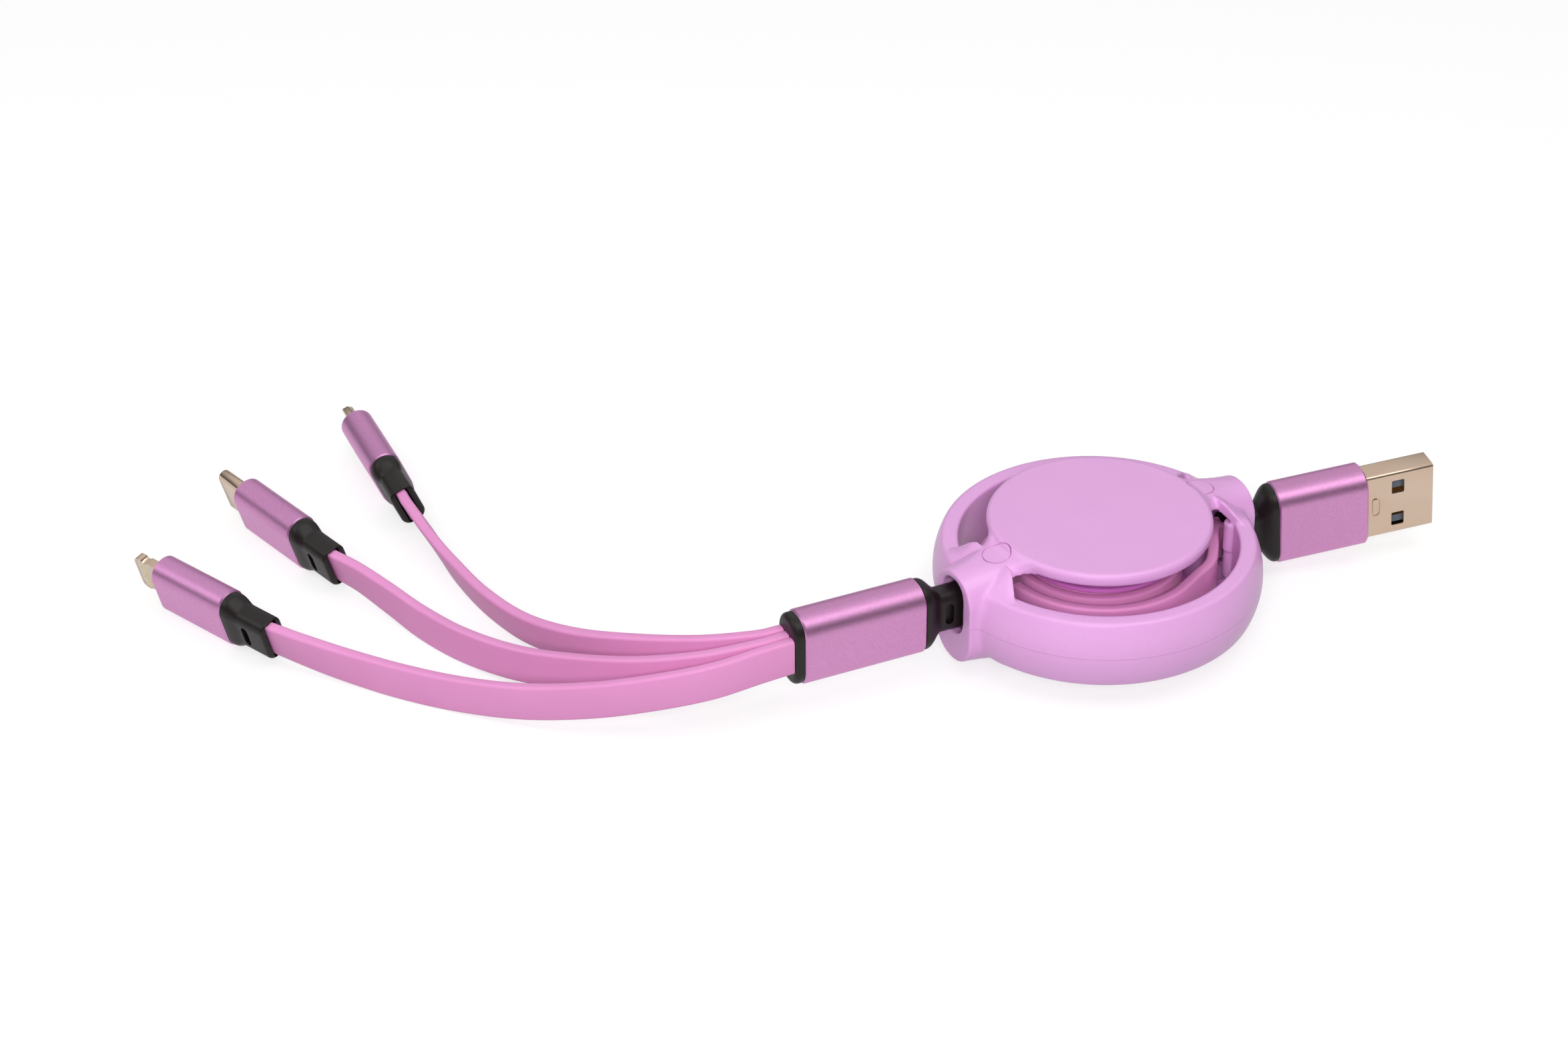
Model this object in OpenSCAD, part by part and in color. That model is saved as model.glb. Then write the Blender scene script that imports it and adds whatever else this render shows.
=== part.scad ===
// Retractable three way charging cable.
// A flat reel stands on its lower lid. The spool axis is Z, the plug for the charger leaves
// along +X and the splitter with its three short branch tapes leaves along -X.

/* [Reel casing] */
// Outer radius of the ring round the reel
ring_r = 26.8; // [25:0.1:33]
// Height of the ring, both shells together
ring_h = 11.7; // [10.5:0.1:14]
// Width of the ring, from its window to the crown of its outer wall
ring_w = 4.1; // [3.6:0.1:5.5]
// Radius of the crown of the ring's outer wall, seen in a cut
crown_r = 13; // [10:0.5:20]
// Radius of the ring's outer top and bottom edges
ring_edge_r = 0.8; // [0.5:0.1:1.2]
// Radius of each round lid
lid_r = 18.3; // [17.5:0.1:20.5]
// Height of the reel over both lids
case_h = 20.2; // [19.4:0.1:25]
// Thickness of each lid
lid_t = 2.1; // [1.6:0.1:2.6]
// Radius of the rounded rim of each lid
lid_edge_r = 0.8; // [0.4:0.1:1.2]
// Wall of the hollow ring
ring_wall = 1.3; // [1:0.1:1.6]
// Radius of the hollow where a lid runs into its bridge
neck_r = 3; // [2:0.1:4]

/* [Horns] */
// Width of a horn, across the cable
horn_w = 10.2; // [9.6:0.1:12.5]
// Height of a horn at its mouth
horn_h = 16.1; // [15.5:0.1:19]
// How far a horn's mouth stands out past the ring
horn_proud = 1.1; // [0.4:0.1:2]
// Room beside a strain relief tail in its horn
mouth_slack_w = 1.4; // [1.1:0.1:1.6]
// Room above and below a strain relief tail in its horn
mouth_slack_h = 2.3; // [2.1:0.1:2.6]
// Radius of the post behind each horn that the tape runs round
post_r = 2; // [1.6:0.1:2.2]
// Distance from the ring's outer wall in to the post's centre
post_in = 7; // [6.8:0.1:7.4]
// Radius of the round mark over each post
mark_r = 2.5; // [2:0.1:2.8]
// Radius of the pin that joins the two halves of a post
pin_r = 1.1; // [0.8:0.1:1.2]
// Length of that pin
pin_l = 3; // [2:0.1:4]

/* [Flat tape] */
// Width of the flat tape
tape_w = 6.2; // [5.2:0.1:6.6]
// Thickness of the flat tape
tape_t = 1.8; // [1.5:0.05:1.8]
// Layers of tape in the wound pack
pack_layers = 6; // [4:1:6]
// Air between two layers of the pack
layer_gap = 0.02; // [0:0.01:0.05]

/* [Spool] */
// Radius of the hub that the tape is wound on
hub_r = 4.5; // [4:0.1:4.6]
// Radius of the two spool flanges
flange_r = 14.8; // [14:0.1:15.2]
// Thickness of a flange
flange_t = 0.8; // [0.6:0.05:1]
// Air between the tape and a flange
flange_gap = 0.4; // [0.3:0.05:0.6]
// Radius of the fixed centre post
spindle_r = 1.7; // [1.4:0.1:1.9]
// Running clearance of the spool on the centre post
run_gap = 0.12; // [0.1:0.01:0.2]
// Outer radius of the cup that holds the power spring
cup_r = 13.6; // [13:0.1:14]
// Wall of the spring cup
cup_wall = 0.9; // [0.7:0.1:1.2]
// Thickness of the disc that closes the spring cup
cover_t = 0.5; // [0.4:0.05:0.6]
// Air between the moving spool and the inside of a lid
lid_gap = 0.4; // [0.3:0.05:0.6]

/* [Power spring and ratchet] */
// Turns of the power spring
spring_turns = 8; // [5:1:9]
// Thickness of the spring strip
spring_t = 0.25; // [0.2:0.05:0.3]
// Radius of the arbor that holds the spring's inner end
arbor_r = 2.6; // [2.4:0.1:2.8]
// Diameter of the locking ball
ball_d = 2.4; // [2:0.1:2.4]
// Running clearance of the ball in its track
ball_gap = 0.2; // [0.15:0.05:0.3]
// Radius at which the ball rests
ball_place_r = 11; // [10.8:0.1:11.2]
// Radius of the ratchet rim on the spool
ratchet_r = 8.2; // [7.8:0.1:8.4]
// Height of the ratchet rim
ratchet_h = 1.2; // [1:0.1:1.3]
// Notches in the ratchet rim
ratchet_notches = 4; // [2:1:6]

/* [Aluminium sleeves] */
// Wall of every sleeve
sleeve_wall = 0.8; // [0.6:0.05:0.9]
// Bright chamfer at the ends of every sleeve
sleeve_chamfer = 0.3; // [0.2:0.05:0.4]
// Length of the splitter sleeve
split_l = 21.2; // [18:0.1:26]
// Height of the splitter sleeve, tape on edge
split_h = 12.5; // [12:0.1:15]
// Thickness of the splitter sleeve
split_t = 7.5; // [7.4:0.1:9]
// Corner radius of the splitter sleeve
split_r = 3.3; // [2.5:0.1:3.6]
// Length of the charger plug sleeve
usb_l = 15.8; // [14:0.1:19]
// Height of the charger plug sleeve, plug on edge
usb_h = 14.2; // [14:0.1:17]
// Thickness of the charger plug sleeve
usb_t = 7.5; // [7:0.1:9]
// Corner radius of the charger plug sleeve
usb_r = 3; // [2.5:0.1:3.4]
// Length of each branch plug sleeve
branch_l = 16.4; // [14:0.1:20]
// Height of each branch plug sleeve
branch_h = 10.6; // [10.4:0.1:12.7]
// Thickness of each branch plug sleeve
branch_t = 5.7; // [5.4:0.1:6.8]
// Corner radius of each branch plug sleeve
branch_r = 2.7; // [2:0.1:2.7]

/* [Strain reliefs and end cap] */
// Length of a strain relief on the reel's leads, outside its sleeve
lead_relief_l = 9.5; // [9:0.1:10]
// Length of a branch strain relief, outside its sleeve
branch_relief_l = 9.3; // [8.5:0.1:11]
// Height of a relief's tail
tail_h = 7.4; // [7.2:0.1:7.8]
// Thickness of a relief's tail
tail_t = 4.4; // [4:0.1:4.6]
// Corner radius of a relief's tail
tail_r = 1.6; // [1:0.1:1.9]
// Length of the shoulder between sleeve and tail
shoulder_l = 3.4; // [2.6:0.1:4]
// Height of the blind slot in each side of a tail
slot_h = 3.8; // [3:0.1:4.2]
// Width of that slot
slot_w = 1.1; // [0.8:0.05:1.3]
// Depth of that slot
slot_depth = 0.9; // [0.5:0.05:1.1]
// Depth of the tape pocket in a tail
pocket_depth = 3; // [2.4:0.1:3.2]
// Air round the tape in its pocket
pocket_gap = 0.3; // [0.2:0.05:0.4]
// How far the splitter's end cap stands out of its sleeve
cap_proud = 1.6; // [1.2:0.1:2.6]
// Pitch of the three branch tapes at the end cap
branch_pitch = 2; // [1.9:0.05:2.1]

/* [Charger plug] */
// Width of the plug shell, which stands on edge
usb_shell_w = 12; // [11.9:0.05:12.1]
// Thickness of the plug shell
usb_shell_t = 4.5; // [4.4:0.05:4.6]
// Exposed length of the plug shell
usb_shell_l = 12; // [11.5:0.1:12.5]
// Sheet thickness of the plug shells
shell_sheet = 0.3; // [0.2:0.05:0.35]
// Length of the latch windows
latch_l = 2.2; // [1.8:0.1:2.4]
// Width of the latch windows
latch_w = 2.5; // [2:0.1:2.6]
// Distance of the latch windows from the plug's tip
latch_from_tip = 5.16; // [4.8:0.02:5.4]
// Distance of the latch windows from the plug's centre line
latch_off = 3.15; // [2.9:0.05:3.3]
// Thickness of the contact tongue
usb_tongue_t = 1.84; // [1.7:0.02:1.9]
// Setback of the contact tongue from the tip
usb_tongue_back = 0.6; // [0.4:0.1:1]

/* [Branch plugs] */
// Width of the eight contact tab
tab_w = 6.7; // [6.6:0.05:6.8]
// Thickness of the eight contact tab
tab_t = 1.5; // [1.45:0.05:1.55]
// Exposed length of the eight contact tab
tab_l = 6.6; // [6:0.1:7]
// Pitch of the tab's contacts
tab_pitch = 0.62; // [0.55:0.01:0.65]
// Width of the oval plug shell
oval_w = 8.25; // [8.15:0.05:8.35]
// Thickness of the oval plug shell
oval_t = 2.4; // [2.35:0.05:2.45]
// Exposed length of the oval plug shell
oval_l = 6.65; // [6.2:0.05:6.8]
// Width of the five contact plug shell
five_w = 6.85; // [6.7:0.05:6.9]
// Thickness of the five contact plug shell
five_t = 1.85; // [1.8:0.05:1.9]
// Exposed length of the five contact plug shell
five_l = 5; // [4.5:0.1:5.5]
// Depth by which every plug tip is held inside its core
tip_hold = 3; // [2:0.1:4]

/* [Hidden] */

$fn = 64;
eps = 0.01;            // overlap of a cut past the face it opens
corner_n = 5;          // steps round each corner of a lofted section

// Colours of the real materials
casing_colour = [0.90, 0.69, 0.89];
tape_colour = [0.91, 0.61, 0.80];
sleeve_colour = [0.78, 0.53, 0.75];
rubber_colour = [0.11, 0.08, 0.08];
steel_colour = [0.79, 0.72, 0.65];
insert_colour = [0.93, 0.91, 0.86];
gold_colour = [0.86, 0.68, 0.36];

// Levels in the reel, measured from the surface it stands on
mid_z = case_h / 2;                          // parting plane and middle of the tape
lid_in = lid_t;                              // inside of the lower lid
tape_lo = mid_z - tape_w / 2;                // lower edge of the wound tape
flange_lo = tape_lo - flange_gap - flange_t; // underside of the lower flange
flange_hi = mid_z + tape_w / 2 + flange_gap; // underside of the upper flange
cover_lo = lid_in + lid_gap;                 // underside of the spring cover
spring_air = 0.2;                            // air above and below the spring strip
ratchet_base = flange_hi + flange_t;         // top of the upper flange
ball_z = ratchet_base + ball_d / 2;          // height of the ball's centre
rim_air = 0.4;                               // air between ratchet rim and lid ribs

// Radii in the reel
window_r = ring_r - ring_w;
horn_x = ring_r + horn_proud;
post_x = ring_r - post_in;
pack_r = hub_r + pack_layers * (tape_t + layer_gap);
wrap_gap = 0.15;                             // air between the pack and a lead's own wrap
wrap_r = pack_r + wrap_gap + tape_t / 2;     // centre line of the lead tape on the pack
mouth_w = tail_t + 2 * mouth_slack_w;
mouth_h = tail_h + 2 * mouth_slack_h;
mouth_r = 3;                                 // corner radius of the mouth

// Frame of each plug: place of its sleeve's inner end, then lean, rise and heading
usb_at = [horn_x + 5.8, -2.2, mid_z - 1.1];
usb_turn = [0, -4.5, -15.3];
split_at = [-horn_x - 6, 1.05, mid_z + 1.7];
split_turn = [0, 0, 174.6];
branch_z = 5.45;
drift_x = 27.9 - horn_x;   // the branches were laid for this reach of the horn and this height
drift_z = mid_z - 10.1;
tab_at = [-124.2 + drift_x, 64.5, branch_z];
tab_turn = [-14.5, 0, 109.5];
oval_at = [-105.3 + drift_x, 79.3, branch_z];
oval_turn = [-16, 0, 100.7];
five_at = [-84.5 + drift_x, 90.5, branch_z + 0.1];
five_turn = [-22, 0, 83];

// Turn a point of a plug's own frame into the reel's frame
function turn_x(p, a) = [p[0], p[1] * cos(a) - p[2] * sin(a), p[1] * sin(a) + p[2] * cos(a)];
function turn_y(p, a) = [p[0] * cos(a) + p[2] * sin(a), p[1], -p[0] * sin(a) + p[2] * cos(a)];
function turn_z(p, a) = [p[0] * cos(a) - p[1] * sin(a), p[0] * sin(a) + p[1] * cos(a), p[2]];
function placed(at, turn, p) = at + turn_z(turn_y(turn_x(p, turn[0]), turn[1]), turn[2]);

// The tape leaves the pocket of each relief at this distance behind the sleeve
lead_pocket_x = -(lead_relief_l - pocket_depth);
branch_pocket_x = -(branch_relief_l - pocket_depth);

// Where the three branch tapes leave the end cap: one step across the cap for each tape
cap_face_x = split_l + cap_proud;
function cap_exit(i, ahead) = placed(split_at, split_turn,
    [cap_face_x + ahead, -(i - 1) * branch_pitch, 0]);

// Routes of the branch tapes between the end cap and the plugs, chosen by hand:
// down from the splitter, along the table on edge, and up to the relief
tab_route = [[-62, 1.8, 11.5], [-70, 3.2, 10.5], [-78, 7.2, 8.8], [-86, 13, 6.7], [-94, 20.8, 4.6],
    [-101, 29.2, 3.4], [-107.4, 37.4, 3.2], [-113.2, 45.4, 3.6], [-118, 51.4, 4.7]];
oval_route = [[-61.5, 3.9, 11.5], [-70, 7.1, 10.4], [-78, 13.4, 8.5], [-84.2, 21.8, 6.2],
    [-89.8, 31.2, 4.2], [-94.4, 41.2, 3.3], [-97.4, 50.4, 3.3], [-99.6, 58.8, 4.1],
    [-101.8, 65.6, 5.1]];
five_route = [[-60.7, 6.3, 11.5], [-68.2, 11, 10.5], [-75, 18.7, 8.7], [-80.4, 28.4, 6.2],
    [-84, 39.2, 4.1], [-85.7, 50.6, 3.3], [-86, 61.8, 3.3], [-85.8, 70.4, 4],
    [-85.7, 76.8, 5.1]];

// Outline of a rounded rectangle, as points that run round from the +X side
function outline(hw, hh, r, n = corner_n) = [for (q = [0:3]) for (i = [0:n])
    let (a = 90 * q + 90 * i / n, sx = (q == 0 || q == 3) ? 1 : -1, sy = q < 2 ? 1 : -1)
    [sx * (hw - r) + r * cos(a), sy * (hh - r) + r * sin(a)]];

// Faces of a closed skin over rows of n points each
function skin_faces(rows, n) = concat(
    [[for (j = [0:n - 1]) j]],
    [for (i = [0:rows - 2]) for (j = [0:n - 1]) for (h = [0, 1])
        let (a = i * n + j, b = a + n, k = (j + 1) % n, c = (i + 1) * n + k, d = i * n + k)
        h == 0 ? [a, b, c] : [a, c, d]],
    [[for (j = [n - 1:-1:0]) (rows - 1) * n + j]]);

// Skin over rounded rectangles across X: each row is [x, half width, half height, radius]
module loft(rows, n = corner_n) {
    points = [for (s = rows) for (p = outline(s[1], s[2], s[3], n)) [s[0], p[0], p[1]]];
    polyhedron(points, skin_faces(len(rows), 4 * (n + 1)), convexity = 4);
}

// Rounded rectangle with true arcs, and the same as a bar along X
module round_rect(w, h, r) {
    square([w - 2 * r, h], center = true);
    square([w, h - 2 * r], center = true);
    for (x = [-1, 1], y = [-1, 1]) translate([x * (w / 2 - r), y * (h / 2 - r)]) circle(r);
}
module bar_x(l, w, h, r) {
    rotate([90, 0, 90]) linear_extrude(l) round_rect(w, h, r);
}
module box_x(x0, x1, w, h) {
    translate([x0, -w / 2, -h / 2]) cube([x1 - x0, w, h]);
}
module placed_at(at, turn) {
    translate(at) rotate([0, 0, turn[2]]) rotate([0, turn[1], 0]) rotate([turn[0], 0, 0]) children();
}

// Smooth curve through points, with a few steps between each two
function blend4(a, b, c, d, t) = 0.5 * ((2 * b) + (c - a) * t + (2 * a - 5 * b + 4 * c - d) * t * t
    + (3 * b - a - 3 * c + d) * t * t * t);
function curve(p, steps) = let (n = len(p)) concat([for (i = [0:n - 2]) for (s = [0:steps - 1])
    blend4(p[max(i - 1, 0)], p[i], p[i + 1], p[min(i + 2, n - 1)], s / steps)], [p[n - 1]]);

// Flat tape swept along a path on edge. It leans by lean0 at the start and lean1 at the end.
function unit(v) = v / norm(v);
function ease(t) = t <= 0 ? 0 : t >= 1 ? 1 : t * t * (3 - 2 * t);
lean_share = 0.35;   // share of the path over which a tape twists to its plug's lean
tape_edge = 0.45;    // chamfer on the tape's four edges
function tape_section(w, t, c) = [[t / 2, -w / 2 + c], [t / 2, w / 2 - c], [t / 2 - c, w / 2],
    [-t / 2 + c, w / 2], [-t / 2, w / 2 - c], [-t / 2, -w / 2 + c], [-t / 2 + c, -w / 2],
    [t / 2 - c, -w / 2]];
function tape_points(path, lean1, share) = let (n = len(path)) [for (i = [0:n - 1])
    let (along = unit(path[min(i + 1, n - 1)] - path[max(i - 1, 0)]),
        side = unit(cross([0, 0, 1], along)), up = cross(along, side),
        lean = lean1 * ease((i / (n - 1) - 1 + share) / share),
        s2 = side * cos(lean) + up * sin(lean), u2 = up * cos(lean) - side * sin(lean))
    for (q = tape_section(tape_w, tape_t, tape_edge)) path[i] + s2 * q[0] + u2 * q[1]];
module tape_along(path, lean1 = 0, share = lean_share) {
    polyhedron(tape_points(path, lean1, share), skin_faces(len(path), 8), convexity = 10);
}

// Route of a branch tape from its slot in the end cap to the pocket of its relief
route_steps = 2;   // steps between two points of a route
root_l = 0.6;      // straight root of a tape at the end cap
function laid(route) = [for (k = [0:len(route) - 1])
    route[k] + [drift_x, 0, drift_z * max(0, 1 - k / 4)]];
function branch_path(i, route, at, turn) = concat([cap_exit(i, 0)],
    curve(concat([cap_exit(i, root_l)], laid(route), [placed(at, turn, [-branch_relief_l, 0, 0])]),
    route_steps), [placed(at, turn, [branch_pocket_x, 0, 0])]);

// Route of a lead tape: round the pack, off it, round the post, and into the relief's pocket.
// It is worked out for the +X horn, and the -X horn has the same half a turn on.
wrap_start = -176;   // angle at which the lead joins the pack, under the far bridge
wrap_end = -70;      // angle at which it leaves the pack
wrap_step = 8;       // degrees between two points of the wrap
post_path_r = post_r + tape_t / 2 + 0.6;
lead_root_l = 1.2;   // straight stretch of a lead behind its relief
off_pack = [[-50, 0.5], [-36, 1.9]];   // angle, and how far off the pack the tape has come
function wrap_point(a, off) = [(wrap_r + off) * cos(a), (wrap_r + off) * sin(a), mid_z];
function post_point(a, z) = [post_x + post_path_r * cos(a), post_path_r * sin(a), z];
function lead_path(ahead, end, inner) = concat(
    [for (a = [wrap_start:wrap_step:wrap_end]) wrap_point(a, 0)],
    curve(concat([for (o = off_pack) wrap_point(o[0], o[1])],
        [post_point(-75, (3 * mid_z + end[2]) / 4), post_point(-38, (mid_z + end[2]) / 2)],
        [ahead, end]), 3), [inner]);

// Height of a bridge and its horn over the parting plane, falling from the lid to the mouth
bridge_x0 = lid_r - 2.6;
bridge_knee = lid_r + 1.9;
knee_z = mid_z - 1.15;
function bridge_z(x) = x < bridge_knee
    ? mid_z + (knee_z - mid_z) * ease((x - bridge_x0) / (bridge_knee - bridge_x0))
    : knee_z + (horn_h / 2 - knee_z) * (x - bridge_knee) / (horn_x - bridge_knee);

// Upper half of the ring: a hollow channel with a crowned outer wall, open at the parting plane
module ring_half() {
    h = ring_h / 2;
    lip_r = 0.5;
    seam = 0.12;   // depth of the seam line between the two shells
    edge_x = ring_r - crown_r + sqrt(pow(crown_r - ring_edge_r, 2) - pow(h - ring_edge_r, 2));
    crown_h = (h - ring_edge_r) * crown_r / (crown_r - ring_edge_r);
    slack = 0.5;   // the crown's fall over the height of the channel
    rotate_extrude($fn = 128) difference() {
        union() {
            translate([window_r, 0]) square([edge_x - window_r, h - lip_r]);
            translate([window_r + lip_r, 0]) square([edge_x - window_r - lip_r, h]);
            translate([edge_x, h - ring_edge_r]) circle(ring_edge_r);
            translate([window_r + lip_r, h - lip_r]) circle(lip_r);
            intersection() {
                translate([ring_r - crown_r, 0]) circle(crown_r);
                translate([window_r + lip_r, 0]) square([ring_w, crown_h]);
            }
        }
        translate([window_r + ring_wall, -1]) square([ring_w - 2 * ring_wall - slack,
            h - ring_wall - slack + 1]);
        translate([ring_r - seam, -1]) square([1, 1 + seam]);
    }
}

// One lid: a disc with a rounded rim
module lid_half() {
    rotate_extrude($fn = 128) union() {
        translate([0, mid_z - lid_t]) square([lid_r, lid_t - lid_edge_r]);
        translate([0, mid_z - lid_t]) square([lid_r - lid_edge_r, lid_t]);
        translate([lid_r - lid_edge_r, mid_z - lid_edge_r]) circle(lid_edge_r);
    }
}

// Half width of a bridge: a hollow neck where it leaves the lid, then the width of the horn
neck_y = horn_w / 2 + neck_r;
neck_x = sqrt(pow(lid_r + neck_r, 2) - neck_y * neck_y);
neck_k = lid_r / (lid_r + neck_r);
under = 0.04;   // the bridge starts this far under the lid's own skin
function bridge_w(x) = x <= neck_x * neck_k ? neck_y * x / neck_x - under
    : x < neck_x ? neck_y - sqrt(pow(neck_r, 2) - pow(neck_x - x, 2)) : horn_w / 2;

// Radius of its two top edges, from the lid out to the mouth
edge_start = 0.7;
edge_mouth = horn_w / 2 - 0.2;
function bridge_edge(x) = let (t = max(0, x - neck_x * neck_k) / (horn_x - neck_x * neck_k))
    edge_start + (edge_mouth - edge_start) * (1 - (1 - t) * (1 - t));

// Solid arch along X over the parting plane: each row is [x, half width, top, edge radius]
module arch(rows) {
    n = 5;
    points = [for (s = rows) for (p = concat([[-s[1], 0], [s[1], 0]],
        [for (i = [0:n]) [s[1] - s[3] + s[3] * cos(90 * i / n), s[2] - s[3] + s[3] * sin(90 * i / n)]],
        [for (i = [0:n]) [s[3] - s[1] - s[3] * sin(90 * i / n), s[2] - s[3] + s[3] * cos(90 * i / n)]]))
        [s[0], p[0], p[1]]];
    polyhedron(points, skin_faces(len(rows), 2 * n + 4), convexity = 4);
}

// Bridge and horn of one side, hollowed inside the ring and under the lid
plate_lo = mid_z - lid_t - 0.8;   // underside of the bridge over the window
module bridge() {
    neck_steps = 5;
    horn_steps = 5;
    lap = 0.2;   // the bridge's root lies this far inside the ring's inner wall
    x0 = neck_x * neck_k;
    xs = concat([x0 - 2.5, x0 - 1], [for (i = [0:neck_steps]) x0 + (neck_x - x0) * i / neck_steps],
        [for (i = [1:horn_steps]) neck_x + (horn_x - neck_x) * i / horn_steps]);
    difference() {
        arch([for (x = xs) [x, bridge_w(x), bridge_z(x) - (x < neck_x ? under : 0), bridge_edge(x)]]);
        translate([0, 0, -1]) cylinder(h = 1 + plate_lo, r = window_r + lap);
        translate([0, 0, -1]) cylinder(h = 1 + mid_z - lid_t + 0.3, r = lid_r - 0.8);
    }
}

// Shoulders beside a bridge: the ring's top rises to the bridge's edges, and their plate ends
// in a wall across the window
shoulder_x = 20.3;   // the wall's place beside the bridge
shoulder_y = 10.3;   // half width over which they sink into the ring
shoulder_t = 2.1;    // thickness of their plate over the window
shoulder_lo = ring_h / 2 - 0.6;
function shoulder_top(x, y) = let (z0 = ring_h / 2 - 0.25, flat = horn_w / 2 - 0.4,
        out = ease((x - shoulder_x) / (ring_r - 1.2 - shoulder_x)),
        down = ease((abs(y) - flat) / (shoulder_y - flat)))
    z0 + (bridge_z(x) - 0.1 - z0) * (1 - out) * (1 - down);
module shoulder_solid(drop, back, lo) {
    rows = 22;
    cols = 5;
    out_r = ring_r - 1.4;
    points = [for (i = [0:rows])
        let (y = shoulder_y * (2 * i / rows - 1), x1 = sqrt(out_r * out_r - y * y),
            x0 = shoulder_x + 0.27 * max(0, abs(y) - horn_w / 2) - back)
        for (p = concat([[x0, lo]], [for (k = [0:cols]) let (x = x0 + (x1 - x0) * k / cols)
            [x, shoulder_top(max(x, shoulder_x), y) - drop]], [[x1, lo]]))
            [p[0], y, p[1]]];
    polyhedron(points, skin_faces(rows + 1, cols + 3), convexity = 4);
}
module shoulders() {
    difference() {
        shoulder_solid(0, 0, shoulder_lo);
        intersection() {
            shoulder_solid(shoulder_t, 1, shoulder_lo - shoulder_t - 1);
            cylinder(h = case_h, r = window_r + 0.2, $fn = 128);
        }
    }
}

// Everything that both shells share, drawn for the upper one over the parting plane
module shell_body() {
    rebate = 0.3;   // step round the edge of a mouth
    difference() {
        union() {
            ring_half();
            lid_half();
            for (a = [0, 180]) rotate([0, 0, a]) {
                bridge();
                shoulders();
            }
        }
        for (a = [0, 180]) rotate([0, 0, a]) {
            translate([window_r - 1, 0, 0]) bar_x(ring_r, mouth_w, mouth_h, mouth_r);
            translate([horn_x - rebate, 0, 0]) bar_x(2, mouth_w + 2 * rebate, mouth_h + 2 * rebate,
                mouth_r + rebate);
            post_mark();
        }
    }
    for (a = [0, 180]) rotate([0, 0, a]) {
        translate([post_x, 0, 0]) cylinder(h = plate_lo + 0.6, r = post_r);
        rotate([0, 0, boss_turn]) intersection() {
            translate([window_r + 0.2, 0, 0]) cylinder(h = ring_h / 2 - 0.7, r = wall_boss_r);
            cylinder(h = ring_h, r = window_r + ring_wall / 2);
        }
    }
}

// Half-round boss on the ring's inner wall, beside each end of the window
boss_turn = -16.5;
wall_boss_r = 1.3;

// Shallow round mark on the bridge over the post
module post_mark() {
    slope = atan2(bridge_z(post_x - mark_r) - bridge_z(post_x + mark_r), 2 * mark_r);
    groove_w = 0.3;
    groove_d = 0.25;
    translate([post_x, 0, bridge_z(post_x)]) rotate([0, slope, 0]) translate([0, 0, -groove_d])
        difference() {
            cylinder(h = 1, r = mark_r);
            translate([0, 0, -1]) cylinder(h = 3, r = mark_r - groove_w);
        }
}

// Ribs under the upper lid that keep the ball on a radial track
module ball_track() {
    rib_t = 1;
    track_in = 6.4;
    track_out = 13.2;
    rib_lo = ratchet_base + ratchet_h + rim_air;
    for (s = [-1, 1])
        translate([s * (ball_d / 2 + ball_gap + rib_t / 2) - rib_t / 2, track_in, rib_lo])
            cube([rib_t, track_out - track_in, case_h - lid_t / 2 - rib_lo]);
    for (y = [track_in, track_out])
        translate([-ball_d / 2 - ball_gap - rib_t, y - rib_t / 2, rib_lo])
            cube([ball_d + 2 * ball_gap + 2 * rib_t, rib_t, case_h - lid_t / 2 - rib_lo]);
}

boss_wall = 1.3;
boss_lo = ratchet_base + lid_gap;   // lower end of the upper lid's boss
spindle_top = case_h - lid_t - 0.6;

module upper_shell() {
    color(casing_colour) {
        difference() {
            translate([0, 0, mid_z]) shell_body();
            for (x = [-post_x, post_x]) translate([x, 0, mid_z - eps])
                cylinder(h = pin_l + 0.3, r = pin_r + 0.05);
        }
        difference() {
            translate([0, 0, boss_lo]) cylinder(h = case_h - lid_t / 2 - boss_lo,
                r = spindle_r + run_gap + boss_wall);
            translate([0, 0, boss_lo - eps]) cylinder(h = spindle_top + 0.3 - boss_lo,
                r = spindle_r + run_gap / 2);
        }
        ball_track();
    }
}

module lower_shell() {
    arbor_top = flange_lo - lid_gap;
    slit = 0.5;   // slot in the arbor that takes the spring's inner end
    color(casing_colour) {
        translate([0, 0, mid_z]) mirror([0, 0, 1]) shell_body();
        for (x = [-post_x, post_x]) translate([x, 0, mid_z - 1]) cylinder(h = pin_l + 1, r = pin_r);
        translate([0, 0, lid_t / 2]) cylinder(h = spindle_top - lid_t / 2, r = spindle_r);
        difference() {
            translate([0, 0, lid_t / 2]) cylinder(h = arbor_top - lid_t / 2, r = arbor_r);
            translate([-slit / 2, 0, cover_lo + cover_t]) cube([slit, arbor_r + 1, case_h]);
        }
    }
}

module locking_ball() {
    color(steel_colour) translate([0, ball_place_r, ball_z + 0.05]) sphere(d = ball_d);
}

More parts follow.
